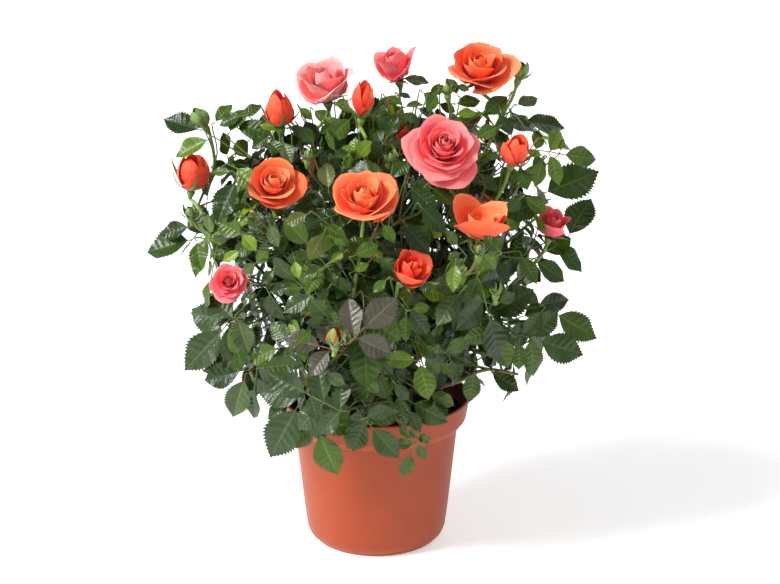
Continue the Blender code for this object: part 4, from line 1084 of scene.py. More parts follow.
def mottled(name, mottle):
    """A material whose base colour wanders between two colours in patches, by nodes."""
    made = surface(name, mottle.colours[0], mottle.finish)
    tree = made.node_tree
    coordinates = add_node(tree, "TexCoord", {}, {}).outputs["Object"]
    ramp = add_node(tree, "ValToRGB", {}, {"Fac": clouds(tree, coordinates, mottle.patches, 4.0)})
    for element, position, colour in zip(ramp.color_ramp.elements, RAMP_STOPS, mottle.colours):
        element.position = position
        element.color = (*colour, 1.0)
    tree.links.new(ramp.outputs["Color"], tree.nodes["Principled BSDF"].inputs["Base Color"])
    return made


LEAF_TINTS = {
    "deep": (0.013, 0.032, 0.002),
    "dark": (0.025, 0.056, 0.003),
    "mid": (0.048, 0.093, 0.005),
    "fresh": (0.090, 0.154, 0.009),
    "young": (0.142, 0.226, 0.015),
    # The two bluish-grey tints are painted sheen: the grey-blue gloss of soft light on glossy leaves, put
    # into their base colour.
    "painted_sheen_blue": (0.031, 0.057, 0.016),
    "painted_sheen_grey": (0.062, 0.096, 0.028),
    "bronze": (0.066, 0.060, 0.040),
    "olive": (0.074, 0.090, 0.015),
}
RIB_LIFT = 1.6
RIB_PALE = 0.012
# Each hue's deep, full and light petal colours. The deep one, at the petals' feet, is painted shade of
# the bloom's folds.
PETAL_ENDS = {
    "orange": ((0.86, 0.050, 0.016), (0.98, 0.150, 0.044), (1.00, 0.320, 0.135)),
    "scarlet": ((0.80, 0.026, 0.010), (0.95, 0.100, 0.034), (1.00, 0.250, 0.100)),
    "red": ((0.72, 0.010, 0.004), (0.93, 0.042, 0.015), (1.00, 0.125, 0.050)),
    "pink": ((0.86, 0.040, 0.062), (0.97, 0.100, 0.125), (1.00, 0.265, 0.265)),
    "blush": ((0.86, 0.090, 0.110), (0.98, 0.210, 0.220), (1.00, 0.430, 0.410)),
    "rose": ((0.80, 0.018, 0.056), (0.94, 0.064, 0.110), (1.00, 0.200, 0.225)),
}
PETAL_SHADES = 7
STEM_COLOURS = {
    "stem_fresh": (0.200, 0.320, 0.050),
    "twig_green": (0.090, 0.145, 0.030),
    "twig_olive": (0.150, 0.150, 0.045),
    "stalk_red": (0.220, 0.080, 0.035),
    "sepal": (0.105, 0.175, 0.035),
    "sepal_pale": (0.300, 0.340, 0.120),
    "hip": (0.150, 0.250, 0.055),
    "thorn": (0.260, 0.085, 0.035),
}


# A range of roughness, the size of its grain and cells, how deep the relief is, sheen and gloss.
Finish = namedtuple("Finish", "rough grain relief sheen specular cells", defaults=(0.0, 0.5, 0))
LEAF_FINISH = Finish((0.22, 0.36), 1300, 0.00025, 0.0, 0.36, 900)
RIB_FINISH = Finish((0.40, 0.50), 1500, 0.0001, 0.0, 0.3)
PETAL_FINISH = Finish((0.50, 0.68), 900, 0.00012, 0.10, 0.25)
STEM_FINISH = Finish((0.40, 0.58), 1600, 0.00012)
PETAL_GLOW = {
    "Subsurface Weight": 0.45,
    "Subsurface Radius": (0.009, 0.0015, 0.0010),
    "Subsurface Scale": 1.0,
}
Mottle = namedtuple("Mottle", "colours patches finish")
MOTTLES = {
    "bark": Mottle(
        ((0.110, 0.150, 0.045), (0.160, 0.120, 0.060)), 120, Finish((0.50, 0.70), 1400, 0.0004)
    ),
    "terracotta": Mottle(
        ((0.300, 0.038, 0.003), (0.328, 0.045, 0.005)),
        25,
        Finish((0.42, 0.52), 2500, 0.00006, 0.0, 0.4),
    ),
    "compost": Mottle(
        ((0.022, 0.015, 0.011), (0.050, 0.034, 0.022)),
        260,
        Finish((0.85, 1.00), 1100, 0.0010, 0.0, 0.2),
    ),
    "crumb": Mottle(
        ((0.060, 0.036, 0.020), (0.028, 0.018, 0.012)),
        400,
        Finish((0.8, 1.0), 1500, 0.0005, 0.0, 0.2),
    ),
    "floor": Mottle(((0.86, 0.86, 0.86), (0.88, 0.88, 0.88)), 3, Finish((0.7, 0.8), 60, 0.0002)),
}
CLOUD_ROUGHNESS = 0.55
GLOSS_SCALE = 0.35
CELL_SHARE = 0.5
RELIEF_STRENGTH = 0.6
RAMP_STOPS = (0.35, 0.65)
FLOOR_GLOW = 0.44


def petal_colour(hue, place):
    deep, full, light = (np.array(end) for end in PETAL_ENDS[hue])
    if place < 0.5:
        return tuple(deep + (full - deep) * place * 2)
    return tuple(full + (light - full) * (place * 2 - 1))


def make_materials():
    made = {}
    for tint, colour in LEAF_TINTS.items():
        made["leaf_" + tint] = surface("leaf_" + tint, colour, LEAF_FINISH)
        rib = tuple(min(1.0, part * RIB_LIFT + RIB_PALE) for part in colour)
        made["rib_" + tint] = surface("rib_" + tint, rib, RIB_FINISH)
    for hue in PETAL_ENDS:
        for shade_number in range(PETAL_SHADES):
            name = hue + "_" + str(shade_number)
            colour = petal_colour(hue, shade_number / (PETAL_SHADES - 1))
            made[name] = surface(name, colour, PETAL_FINISH)
            shader = made[name].node_tree.nodes["Principled BSDF"]
            for socket, value in PETAL_GLOW.items():
                shader.inputs[socket].default_value = value
    for name, colour in STEM_COLOURS.items():
        made[name] = surface(name, colour, STEM_FINISH)
    for name, mottle in MOTTLES.items():
        made[name] = mottled(name, mottle)
    floor_shader = made["floor"].node_tree.nodes["Principled BSDF"]
    floor_shader.inputs["Emission Color"].default_value = (1.0, 1.0, 1.0, 1.0)
    floor_shader.inputs["Emission Strength"].default_value = FLOOR_GLOW
    return made


# ---------------------------------------------------------------- joined meshes from arrays
def linked(name, data):
    """A new object of the scene that holds this mesh, light or camera."""
    obj = bpy.data.objects.new(name, data)
    bpy.context.scene.collection.objects.link(obj)
    return obj


class Pile:
    """Collects many small meshes of four-sided faces, and joins them into one piece."""

    def __init__(self, name, palette):
        self.name = name
        self.palette = list(palette)
        self.points = []
        self.faces = []
        self.shades = []
        self.count = 0

    def add(self, points, faces, shades):
        points = np.asarray(points, float).reshape(-1, 3)
        faces = np.asarray(faces, np.int64)
        if isinstance(shades, str):
            shades = np.full(len(faces), self.palette.index(shades))
        self.points.append(points)
        self.faces.append(faces + self.count)
        self.shades.append(np.asarray(shades))
        self.count += len(points)

    def build(self, materials):
        points = np.concatenate(self.points)
        faces = np.concatenate(self.faces)
        mesh = bpy.data.meshes.new(self.name)
        mesh.vertices.add(len(points))
        mesh.vertices.foreach_set("co", points.ravel())
        mesh.loops.add(faces.size)
        mesh.loops.foreach_set("vertex_index", faces.ravel())
        mesh.polygons.add(len(faces))
        mesh.polygons.foreach_set("loop_start", np.arange(len(faces)) * 4)
        for name in self.palette:
            mesh.materials.append(materials[name])
        mesh.polygons.foreach_set("material_index", np.concatenate(self.shades))
        mesh.update(calc_edges=True)
        mesh.shade_smooth()
        return linked(self.name, mesh)


def grid_faces(rows, columns, closed=False):
    """Faces between rows + 1 rings of points, of columns + 1 points each, or columns if closed."""
    across = columns if closed else columns + 1
    row = np.arange(rows)[:, None] * across
    column = np.arange(columns)[None, :]
    after = (column + 1) % across
    quads = np.stack([row + column, row + after, row + across + after, row + across + column], axis=2)
    return quads.reshape(-1, 4)


def smooth_path(points, steps):
    """A Catmull-Rom curve through the points, with so many steps in all."""
    points = np.asarray(points, float)
    padded = np.concatenate([[2 * points[0] - points[1]], points, [2 * points[-1] - points[-2]]])
    places = np.linspace(0, len(points) - 1, steps + 1)
    span = np.minimum(places.astype(int), len(points) - 2)
    t = (places - span)[:, None]
    a, b, c, d = padded[span], padded[span + 1], padded[span + 2], padded[span + 3]
    square, cube = 2 * a - 5 * b + 4 * c - d, 3 * b - a - 3 * c + d
    return 0.5 * (2 * b + (c - a) * t + square * t**2 + cube * t**3)


TUBE_SIDE = (0.31, 0.17, 0.93)
TUBE_END_SHARE = 0.05
TUBE_TIP = 0.6


def tube_points(path, radii, sides, relief=None):
    """Rings of points round a path, with each ring turned as little as can be from the last."""
    ways = np.gradient(path, axis=0)
    ways /= np.linalg.norm(ways, axis=1)[:, None]
    side = unit(np.cross(ways[0], TUBE_SIDE))
    angles = math.tau * np.arange(sides) / sides
    rings = []
    for place, (point, way, radius) in enumerate(zip(path, ways, radii)):
        side = unit(side - way * (side @ way))
        other = np.cross(way, side)
        reach = radius * (relief[place] if relief is not None else 1.0)
        ring = np.cos(angles)[:, None] * side + np.sin(angles)[:, None] * other
        rings.append(point + ring * np.asarray(reach).reshape(-1, 1))
    return np.array(rings)


def add_tube(pile, path, radii, sides, shade_name, relief=None):
    """A tube along a path, closed to a blunt point at both ends."""
    rings = tube_points(path, radii, sides, relief)
    first = path[0] + (rings[0] - path[0]) * TUBE_END_SHARE
    last = path[-1] + (rings[-1] - path[-1]) * TUBE_END_SHARE
    tip = unit(path[-1] - path[-2]) * radii[-1] * TUBE_TIP
    rings = np.concatenate([[first], rings, [last + tip]])
    pile.add(rings, grid_faces(len(rings) - 1, sides, closed=True), shade_name)


# ---------------------------------------------------------------- leaves
LeafGrid = namedtuple("LeafGrid", "rows across faces is_rib")


def leaf_grid(teeth, across):
    """A leaflet's grid: two rows of points a tooth, and a narrow middle column for the rib."""
    columns = len(across) - 1
    faces = grid_faces(2 * teeth, columns)
    is_rib = np.arange(len(faces)) % columns == columns // 2
    return LeafGrid(2 * teeth, np.array(across), faces, is_rib)


OUTER_GRID = leaf_grid(14, (-1.0, -0.70, -0.38, -0.055, 0.055, 0.38, 0.70, 1.0))
INNER_GRID = leaf_grid(8, (-1.0, -0.55, -0.07, 0.07, 0.55, 1.0))
LIFE_WIDTH = 0.60
OUTLINE_BASE_POWER = 0.60
OUTLINE_TIP_POWER = 1.20
TOOTH_DEPTH = 0.085
VEIN_SLANT = 0.50
VEIN_ROWS = 4
VEIN_RELIEF = 0.016
LEAF_BEND = (0.05, 0.34)
LEAF_CUP = (-0.02, 0.18)
LEAF_WAVE = 0.035
LEAF_WAVES = 1.6
LEAF_TWIST = (-0.25, 0.25)
WIDTH_WANDER = (0.90, 1.12)
EDGE_POWER = 6
TOOTH_LEAN = 0.014
VEIN_FADE = 1.08
RIB_SINK = 0.010
RIB_HALF = 0.1
BEND_DOWN = 0.6
BEND_BACK = 0.12
PETIOLULE = 0.0018
FINE_STALK = 0.00044


def leaflet_points(leaflet, grid, chance):
    """Points of one serrated, veined leaflet, row by row along it."""
    rows = np.arange(grid.rows + 1) / grid.rows
    widest = OUTLINE_BASE_POWER / (OUTLINE_BASE_POWER + OUTLINE_TIP_POWER)
    rise = (rows / widest) ** OUTLINE_BASE_POWER
    fall = ((1 - rows) / (1 - widest)) ** OUTLINE_TIP_POWER
    half = rise * fall * LIFE_WIDTH * chance.uniform(*WIDTH_WANDER) / 2
    rows = rows[:, None]
    tooth = (np.arange(grid.rows + 1) % 2)[:, None]
    across = grid.across[None, :]
    edge = np.abs(across) ** EDGE_POWER
    reach = half[:, None] * across * (1 + edge * (tooth - 0.5) * TOOTH_DEPTH * 2)
    along = rows + np.abs(reach) * VEIN_SLANT + edge * tooth * TOOTH_LEAN
    along = along / along.max()
    middle = np.abs(across) * (1 - np.abs(across)) * 4
    vein = np.cos(math.tau * np.arange(grid.rows + 1) / VEIN_ROWS)[:, None]
    fade = np.sin(math.pi * np.clip(rows * VEIN_FADE, 0, 1))
    height = -vein * VEIN_RELIEF * middle * fade
    height += np.abs(reach) * chance.uniform(*LEAF_CUP) * 2 - RIB_SINK * (np.abs(across) < RIB_HALF)
    height += LEAF_WAVE * np.sin(math.tau * (rows * LEAF_WAVES + chance.random())) * across**2 * fade
    drop = chance.uniform(*LEAF_BEND) * along**2
    height -= drop * BEND_DOWN
    along = along - drop * BEND_BACK
    twist = chance.uniform(*LEAF_TWIST) * along
    side_reach = reach * np.cos(twist) - height * np.sin(twist)
    height = reach * np.sin(twist) + height * np.cos(twist)
    side = np.cross(leaflet.face, leaflet.way)
    ways = (leaflet.way, side, leaflet.face)
    offsets = sum(share[:, :, None] * way for share, way in zip((along, side_reach, height), ways))
    return leaflet.base + leaflet.way * PETIOLULE + offsets * (leaflet.length - PETIOLULE)


# Places where the sprays have their own tint: middle, reach and tint.
Tinted = namedtuple("Tinted", "middle reach tint")
TINTED = (
    # The bluish-grey tint of the low left sprays is painted sheen, put into their base colour.
    Tinted((-0.115, -0.040, 0.135), 0.030, "painted_sheen_blue"),
    Tinted((-0.060, -0.085, 0.110), 0.034, "painted_sheen_blue"),
    Tinted((-0.030, -0.100, 0.100), 0.026, "dark"),
    Tinted((0.115, -0.010, 0.262), 0.026, "fresh"),
    Tinted((-0.075, -0.080, 0.215), 0.022, "fresh"),
    Tinted((-0.110, 0.010, 0.262), 0.022, "olive"),
)
# Leaves inside the crown are mostly the deepest greens: partly the darker green of older leaves, partly
# painted shade of the crown's inside.
INNER_TINTS = (("deep", 0.55), ("dark", 0.35), ("mid", 0.10))
# The bluish-grey tint here is painted sheen, put into the base colour.
OUTER_TINTS = (
    ("deep", 0.22), ("dark", 0.38), ("mid", 0.24), ("fresh", 0.09), ("olive", 0.03), ("painted_sheen_blue", 0.04),
)
UPPER_TINTS = (("dark", 0.20), ("mid", 0.36), ("fresh", 0.30), ("young", 0.10), ("olive", 0.04))
PLACE_TINT_CHANCE = 0.8
INNER_TINT_SHARE = 0.62
INNER_GRID_SHARE = 0.55
INNER_TOP = 0.25
UPPER_START = 0.205
TINT_WANDER = 0.35
TINT_STEPS = ("deep", "dark", "mid", "fresh", "young")
RED_STALKS = {"young": 0.35, "bronze": 0.9, "fresh": 0.2}
FEW_RED_STALKS = 0.10
ROLL_OUT = 0.9
ROLL_START = 0.20
ROLL_SPAN = 0.08
STALK_STEPS = 7
STALK_TAPER = (1.35, 0.75)
PETIOLULE_TAPER = (0.8, 0.7, 0.3)
PETIOLULE_START = 0.0004
PETIOLULE_SHARE = 0.10
PETIOLULE_UNDER = 0.0002


def pick(weights, chance):
    place = chance.random() * sum(weight for _, weight in weights)
    for name, weight in weights:
        place -= weight
        if place <= 0:
            return name
    return weights[-1][0]


def depth_share(point):
    return math.hypot(point[0], point[1] / CROWN_DEPTH) / max(crown_reach(point[2]), 0.03)


def leaf_tint(middle, chance):
    """The tint of a whole spray: its place's own, or one of those of its depth and height."""
    for tinted in TINTED:
        near = np.linalg.norm(middle - np.array(tinted.middle)) < tinted.reach
        if near and chance.random() < PLACE_TINT_CHANCE:
            return tinted.tint
    # Partly painted shade: leaves inside the crown and low down get the deepest tints.
    if depth_share(middle) < INNER_TINT_SHARE and middle[2] < INNER_TOP:
        return pick(INNER_TINTS, chance)
    return pick(UPPER_TINTS if middle[2] > UPPER_START else OUTER_TINTS, chance)


def rolled(leaflet, outside):
    """The leaflet turned about its midrib, so that its face looks more outwards than up."""
    radial = unit((leaflet.base[0], leaflet.base[1], 1e-6))
    face = leaflet.face + radial * ROLL_OUT * outside
    face = unit(face - leaflet.way * (face @ leaflet.way))
    return leaflet._replace(face=face)


def dress_leaf(leaf, leaves, stems, chance):
    """One compound leaf: its stalk, the short stalks of its leaflets, and their blades."""
    middle = leaf.leaflets[0].base
    tint = leaf.tint or leaf_tint(middle, chance)
    inner = depth_share(middle) < INNER_GRID_SHARE and middle[2] < INNER_TOP
    grid = INNER_GRID if inner else OUTER_GRID
    red = chance.random() < RED_STALKS.get(tint, FEW_RED_STALKS)
    stalk_shade = "stalk_red" if red else "twig_green"
    path = smooth_path(leaf.stalk.points, STALK_STEPS)
    add_tube(stems, path, FINE_STALK * np.linspace(*STALK_TAPER, len(path)), 5, stalk_shade)
    outside = 0.0 if leaf.tint else min(1.0, max(0.0, (middle[2] - ROLL_START) / ROLL_SPAN))
    for leaflet in leaf.leaflets:
        start = leaflet.base - leaflet.way * PETIOLULE_START
        end = leaflet.base + leaflet.way * (PETIOLULE + leaflet.length * PETIOLULE_SHARE)
        path = np.linspace(start, end, 3) - leaflet.face * PETIOLULE_UNDER
        add_tube(stems, path, FINE_STALK * np.array(PETIOLULE_TAPER), 4, stalk_shade)
        own = tint
        if tint in TINT_STEPS and chance.random() < TINT_WANDER:
            step = TINT_STEPS.index(tint) + chance.choice((-1, 1))
            own = TINT_STEPS[min(max(step, 0), len(TINT_STEPS) - 1)]
        rib, blade = leaves.palette.index("rib_" + own), leaves.palette.index("leaf_" + own)
        points = leaflet_points(rolled(leaflet, outside), grid, chance)
        leaves.add(points, grid.faces, np.where(grid.is_rib, rib, blade))


# ---------------------------------------------------------------- stems
BARK_RIDGES = 0.05
BARK_FLECKS = 0.025
BARK_JOINTS = 0.10
JOINT_RINGS = 9
JOINT_WIDTH = 1.2
THORN_LENGTHS = (0.0016, 0.0028)
THORN_TAPER = (0.30, 0.03)
THORN_SINK = 0.6
LIMB_STEPS = 6


def bark_relief(rings, sides, seed):
    """How far each point of a limb stands out: low ridges along it, and joints round it."""
    chance = np.random.default_rng(seed)
    ridges = 1 + BARK_RIDGES * chance.standard_normal(sides)[None, :]
    flecks = 1 + BARK_FLECKS * chance.standard_normal((rings, sides))
    from_joint = np.arange(rings)[:, None] % JOINT_RINGS - JOINT_RINGS // 2
    joints = 1 + BARK_JOINTS * np.exp(-(from_joint**2) / JOINT_WIDTH)
    return ridges * flecks * joints


def add_thorn(pile, foot, outward, down, length):
    path = foot + length * np.array((0 * outward, outward * 0.5, outward + down * 0.35))
    add_tube(pile, smooth_path(path, 4), length * np.linspace(*THORN_TAPER, 5), 6, "thorn")


def add_limb(pile, points, radii, seed, shade_name, thorns, sides, steps=None):
    """A limb with its bark, and as many thorns at random places."""
    chance = random.Random(seed)
    steps = steps or LIMB_STEPS * (len(points) - 1)
    path = smooth_path(points, steps)
    fine = np.interp(np.linspace(0, 1, steps + 1), np.linspace(0, 1, len(radii)), radii)
    add_tube(pile, path, fine, sides, shade_name, bark_relief(steps + 1, sides, seed))
    for _ in range(thorns):
        place = chance.randrange(1, steps)
        way = unit(path[place + 1] - path[place - 1])
        outward = unit(np.cross(way, unit((chance.uniform(-1, 1), chance.uniform(-1, 1), 0.1))))
        foot = path[place] + outward * fine[place] * THORN_SINK
        add_thorn(pile, foot, outward, -way, chance.uniform(*THORN_LENGTHS))


SHORT_STEM_DEPTH = 0.002
# Share of the height up to the knot, and of the foot's radius.
SHORT_STEM_OUTLINE = (
    (0.00, 1.06), (0.25, 0.90), (0.45, 0.80), (0.62, 0.84), (0.78, 0.98),
    (0.90, 1.05), (1.00, 1.02), (1.12, 0.86), (1.22, 0.58), (1.30, 0.24),
)
SHORT_STEM_RINGS = 28
SHORT_STEM_SIDES = 20
SHORT_STEM_SEED = 5
SHORT_STEM_LOBES = 5
LOBE_HEIGHT = 0.07
LOBE_TURN = 0.6
SHORT_STEM_FLECKS = 0.03
# Azimuth and length of each stub.
STUBS = ((35, 0.009), (158, 0.007), (280, 0.008))
STUB_RISE = 0.9
STUB_START_SHARE = 0.5
STUB_REACH_SHARE = 0.4
STUB_RADII = (0.0026, 0.0024, 0.0022, 0.0022, 0.0020)


def make_short_stem(pile):
    """The short main stem, its knot and the stubs of old canes."""
    foot = SOIL_TOP - SHORT_STEM_DEPTH
    head = stem_head()
    levels, spreads = np.array(SHORT_STEM_OUTLINE).T
    lean = np.array((*STEM_LEAN, head[2] - foot))
    path = smooth_path(levels[:, None] * lean + (0.0, 0.0, foot), SHORT_STEM_RINGS - 1)
    radii = np.interp(
        np.linspace(0, 1, SHORT_STEM_RINGS), np.linspace(0, 1, len(spreads)), spreads * STEM_FOOT_RADIUS
    )
    chance = np.random.default_rng(SHORT_STEM_SEED)
    angles = np.arange(SHORT_STEM_SIDES) * math.tau / SHORT_STEM_SIDES
    lumps = 1 + LOBE_HEIGHT * np.cos(angles * SHORT_STEM_LOBES + LOBE_TURN)[None, :]
    flecks = chance.standard_normal((SHORT_STEM_RINGS, SHORT_STEM_SIDES))
    lumps = lumps * (1 + SHORT_STEM_FLECKS * flecks)
    add_tube(pile, path, radii, SHORT_STEM_SIDES, "bark", lumps)
    for azimuth, length in STUBS:
        way = unit(round_the_axis(azimuth, 1.0, STUB_RISE))
        start = head + way * STEM_HEAD_RADIUS * STUB_START_SHARE
        reach = length + STEM_HEAD_RADIUS * STUB_REACH_SHARE
        path = np.linspace(start, start + way * reach, len(STUB_RADII))
        add_tube(pile, path, STUB_RADII, 8, "bark")


# ---------------------------------------------------------------- blooms
# The innermost, middle and outermost petals of each form's spiral. Lengths and half widths are
# against the bloom's radius, and tilts are degrees from its axis, at the petal's foot, at its
# shoulder and at its lip. A petal with a hug of 1 wraps round the axis, and a larger one is
# flatter. Its roll is how far its corners turn back.
PetalEnd = namedtuple("PetalEnd", "length width foot shoulder lip hug roll")
BloomForm = namedtuple("BloomForm", "count rise ruffle peak sink inner middle outer")
FORMS = {
    "full": BloomForm(
        30, 0.05, 0.034, 0.20, 0.47,
        PetalEnd(0.94, 0.54, 30, -44, -34, 1.0, 0.00),
        PetalEnd(1.02, 0.66, 40, 14, 66, 1.15, 0.05),
        PetalEnd(1.12, 0.80, 76, 70, 112, 1.9, 0.13),
    ),
    "open": BloomForm(
        15, 0.05, 0.032, 0.22, 0.50,
        PetalEnd(0.98, 0.50, 38, -42, -30, 1.0, 0.00),
        PetalEnd(1.06, 0.82, 42, 6, 44, 1.1, 0.05),
        PetalEnd(1.22, 1.08, 60, 46, 104, 1.5, 0.15),
    ),
    "flared": BloomForm(
        11, 0.05, 0.060, 0.16, 0.55,
        PetalEnd(1.16, 0.55, 34, -32, -20, 1.0, 0.00),
        PetalEnd(1.32, 0.85, 40, 4, 36, 1.05, 0.08),
        PetalEnd(1.46, 1.12, 54, 26, 98, 1.3, 0.16),
    ),
    "tulip": BloomForm(
        8, 0.05, 0.024, 0.20, 0.62,
        PetalEnd(0.62, 0.50, 34, -12, 0, 1.0, 0.00),
        PetalEnd(1.05, 0.90, 46, 14, 20, 1.15, 0.02),
        PetalEnd(1.50, 1.05, 56, 16, 40, 1.25, 0.08),
    ),
    "half": BloomForm(
        10, 0.05, 0.034, 0.28, 0.55,
        PetalEnd(1.32, 0.50, 36, -32, -20, 1.0, 0.00),
        PetalEnd(1.42, 0.82, 42, -6, 16, 1.0, 0.06),
        PetalEnd(1.52, 1.05, 56, 8, 88, 1.15, 0.14),
    ),
    "opening": BloomForm(
        7, 0.03, 0.012, 0.16, 0.55,
        PetalEnd(2.30, 0.66, 52, -38, -24, 1.0, 0.00),
        PetalEnd(2.28, 0.92, 62, -38, -14, 1.0, 0.02),
        PetalEnd(2.05, 1.15, 74, -24, 14, 1.0, 0.08),
    ),
    "bud": BloomForm(
        6, 0.02, 0.008, 0.20, 0.55,
        PetalEnd(2.50, 0.66, 54, -40, -24, 1.0, 0.00),
        PetalEnd(2.46, 0.94, 64, -46, -30, 1.0, 0.00),
        PetalEnd(2.30, 1.22, 74, -48, -26, 1.0, 0.03),
    ),
    "slim": BloomForm(
        5, 0.02, 0.008, 0.26, 0.50,
        PetalEnd(3.40, 0.66, 38, -22, -14, 1.0, 0.00),
        PetalEnd(3.30, 0.90, 44, -28, -16, 1.0, 0.00),
        PetalEnd(3.00, 1.15, 52, -26, -8, 1.0, 0.03),
    ),
    "green": BloomForm(
        4, 0.0, 0.0, 0.20, 0.55,
        PetalEnd(2.35, 0.66, 54, -40, -26, 1.0, 0.00),
        PetalEnd(2.30, 0.94, 64, -46, -32, 1.0, 0.00),
        PetalEnd(2.20, 1.16, 72, -48, -34, 1.0, 0.00),
    ),
}
# Blooms that aren't quite as their solids: form, share of the size, way they face, hue and shift.
Style = namedtuple("Style", "form size facing hue shift", defaults=((0.0, 0.0, 0.0),))
STYLES = {
    0: Style("flared", 1.12, (-0.10, -0.30, 0.95), "blush"),
    1: Style("bud", 1.00, (-0.02, -0.16, 0.98), "red"),
    2: Style("slim", 1.07, (0.10, -0.10, 1.00), "red", (0.0005, 0.0, -0.005)),
    3: Style("half", 1.36, (-0.20, -0.22, 0.95), "pink", (-0.0005, 0.0, -0.0022)),
    4: Style("open", 1.08, (0.00, -0.46, 0.86), "scarlet", (-0.003, 0.0, 0.003)),
    5: Style("opening", 1.08, (0.16, -0.20, 0.97), "red"),
    6: Style("open", 0.98, (0.08, -0.66, 0.74), "orange", (-0.002, 0.0, 0.001)),
    7: Style("open", 1.05, (0.02, -0.46, 0.88), "orange", (-0.0012, 0.0, 0.0012)),
    8: Style("full", 0.87, (0.08, -0.72, 0.68), "pink", (0.0034, 0.0, 0.004)),
    9: Style("opening", 1.06, (0.22, -0.34, 0.90), "red"),
    10: Style("tulip", 1.34, (0.05, -0.34, 0.94), "orange", (0.001, 0.0, 0.0)),
    11: Style("half", 1.28, (0.20, -0.30, 0.93), "rose", (-0.003, 0.0, -0.002)),
    12: Style("full", 0.92, (-0.10, -0.86, 0.50), "rose"),
    13: Style("half", 1.10, (0.45, -0.45, 0.75), "red"),
    14: Style("green", 1.35, (0.05, -0.25, 0.97), "orange", (0.001, -0.017, 0.005)),
    15: Style("green", 1.45, (-0.45, -0.20, 0.87), "orange"),
    16: Style("green", 1.25, (0.25, -0.10, 0.96), "orange"),
    19: Style("open", 0.92, (-0.25, 0.74, 0.60), "orange", (0.000, 0.018, -0.048)),
    20: Style("half", 1.00, (0.50, 0.55, 0.65), "orange", (-0.020, 0.034, -0.058)),
    24: Style("half", 0.95, (0.00, -0.30, 0.95), "red", (0.006, -0.006, -0.042)),
    25: Style("bud", 1.00, (0.60, 0.40, 0.70), "orange", (-0.010, 0.020, -0.030)),
    21: Style("bud", 1.00, (-0.50, 0.55, 0.65), "rose", (0.006, 0.010, -0.026)),
}
# Where the petals of a form that isn't a spiral stand round it, in degrees: -90 is the front.
SET_PETALS = {"tulip": (60, 200, 92, 215, 325, 28, 152, -90)}
# The spiral is closer together at the heart than outside by this power.
GATHER = 1.25
PETAL_ROWS = 12
PETAL_COLUMNS = 12
PETAL_STEPS = 40
LIP_START = 0.66
LIP_POWER = 1.6
ROW_POWER = 0.9
POINT_WIDTH = 0.3
WIDEST_TURN = 0.60
SWELL_POWER = 0.9
CLAW_WIDTH = 0.26
LEAST_WRAP = 0.07
MOST_WRAP = 2.3
ROLL_DOWN = 0.9
WAVE_OUT = 0.6
CORNER_FALL = 0.50
PETAL_FACES = grid_faces(PETAL_ROWS, PETAL_COLUMNS)
STALK_LEAD = 0.004
BEARING_REACH = 0.003
STEEP_RISE = 0.034
STEEP_START = 1.5
STEEP_END = 0.5
STEEP_STEPS = 5
STALK_IN_HIP = 0.7
LEVEL_CLIMB = 0.75
FRONT_BUDS = (14, 17)
FRONT_BUD_STALK = 0.020
FRONT_BUD_WAY = (0.0, -0.9, 0.6)
FRONT_BUD_STEPS = 4
STRIPE_COLUMNS = 4
STRIPE_START = 0.15
BLOOM_SEED = 900
PETAL_START = 0.02
PETAL_WANDER = 0.12
HEART_TURN = 0.06
# How much the petals of a bloom differ: shares of length and width, and degrees of their tilts.
PETAL_LENGTHS = (0.93, 1.05)
PETAL_WIDTHS = (0.90, 1.08)
SHOULDER_WANDER = (-6, 6)
LIP_WANDER = (-22, 12)
RUFFLES = (0.3, 1.0)
HEART_RUFFLE = 0.3
PEAKS = (0.8, 1.2)
LIP_POINTS = (0.02, 0.12)
# A petal's shade, from 0 for deep to 1 for light: where it starts, and what is added to it.
# The deep start at the foot is painted shade of the bloom's folds. The lift to the heart is
# painted light against the heart's shade, and on orange blooms partly their lighter coral heart.
SHADE_START = 0.28
SHADE_TO_LIP = 0.40
SHADE_TO_HEART = 0.34
SHADE_WANDER = 0.14
HIP_RADIUS = 0.0021
HIP_SWELL = 0.05
HIP_SIDES = 10
HIP_LENGTH = 0.0056
HIP_OUTLINE = ((0.44, 0.0), (0.58, 0.20), (0.80, 0.45), (1.0, 0.70), (1.0, 0.88), (0.80, 1.0))
SEPALS = 5
SEPAL_WANDER = 0.2
SEPAL_LENGTHS = (0.85, 1.15)
SMALLEST_SEPAL = 0.75
SEPAL_FOOT_WANDER = 8
SEPAL_TIP_WANDER = 14
SEPAL_CURLS = (0.3, 1.3)
LARGE_BLOOM = 0.012
STRIPED_BUD = 14


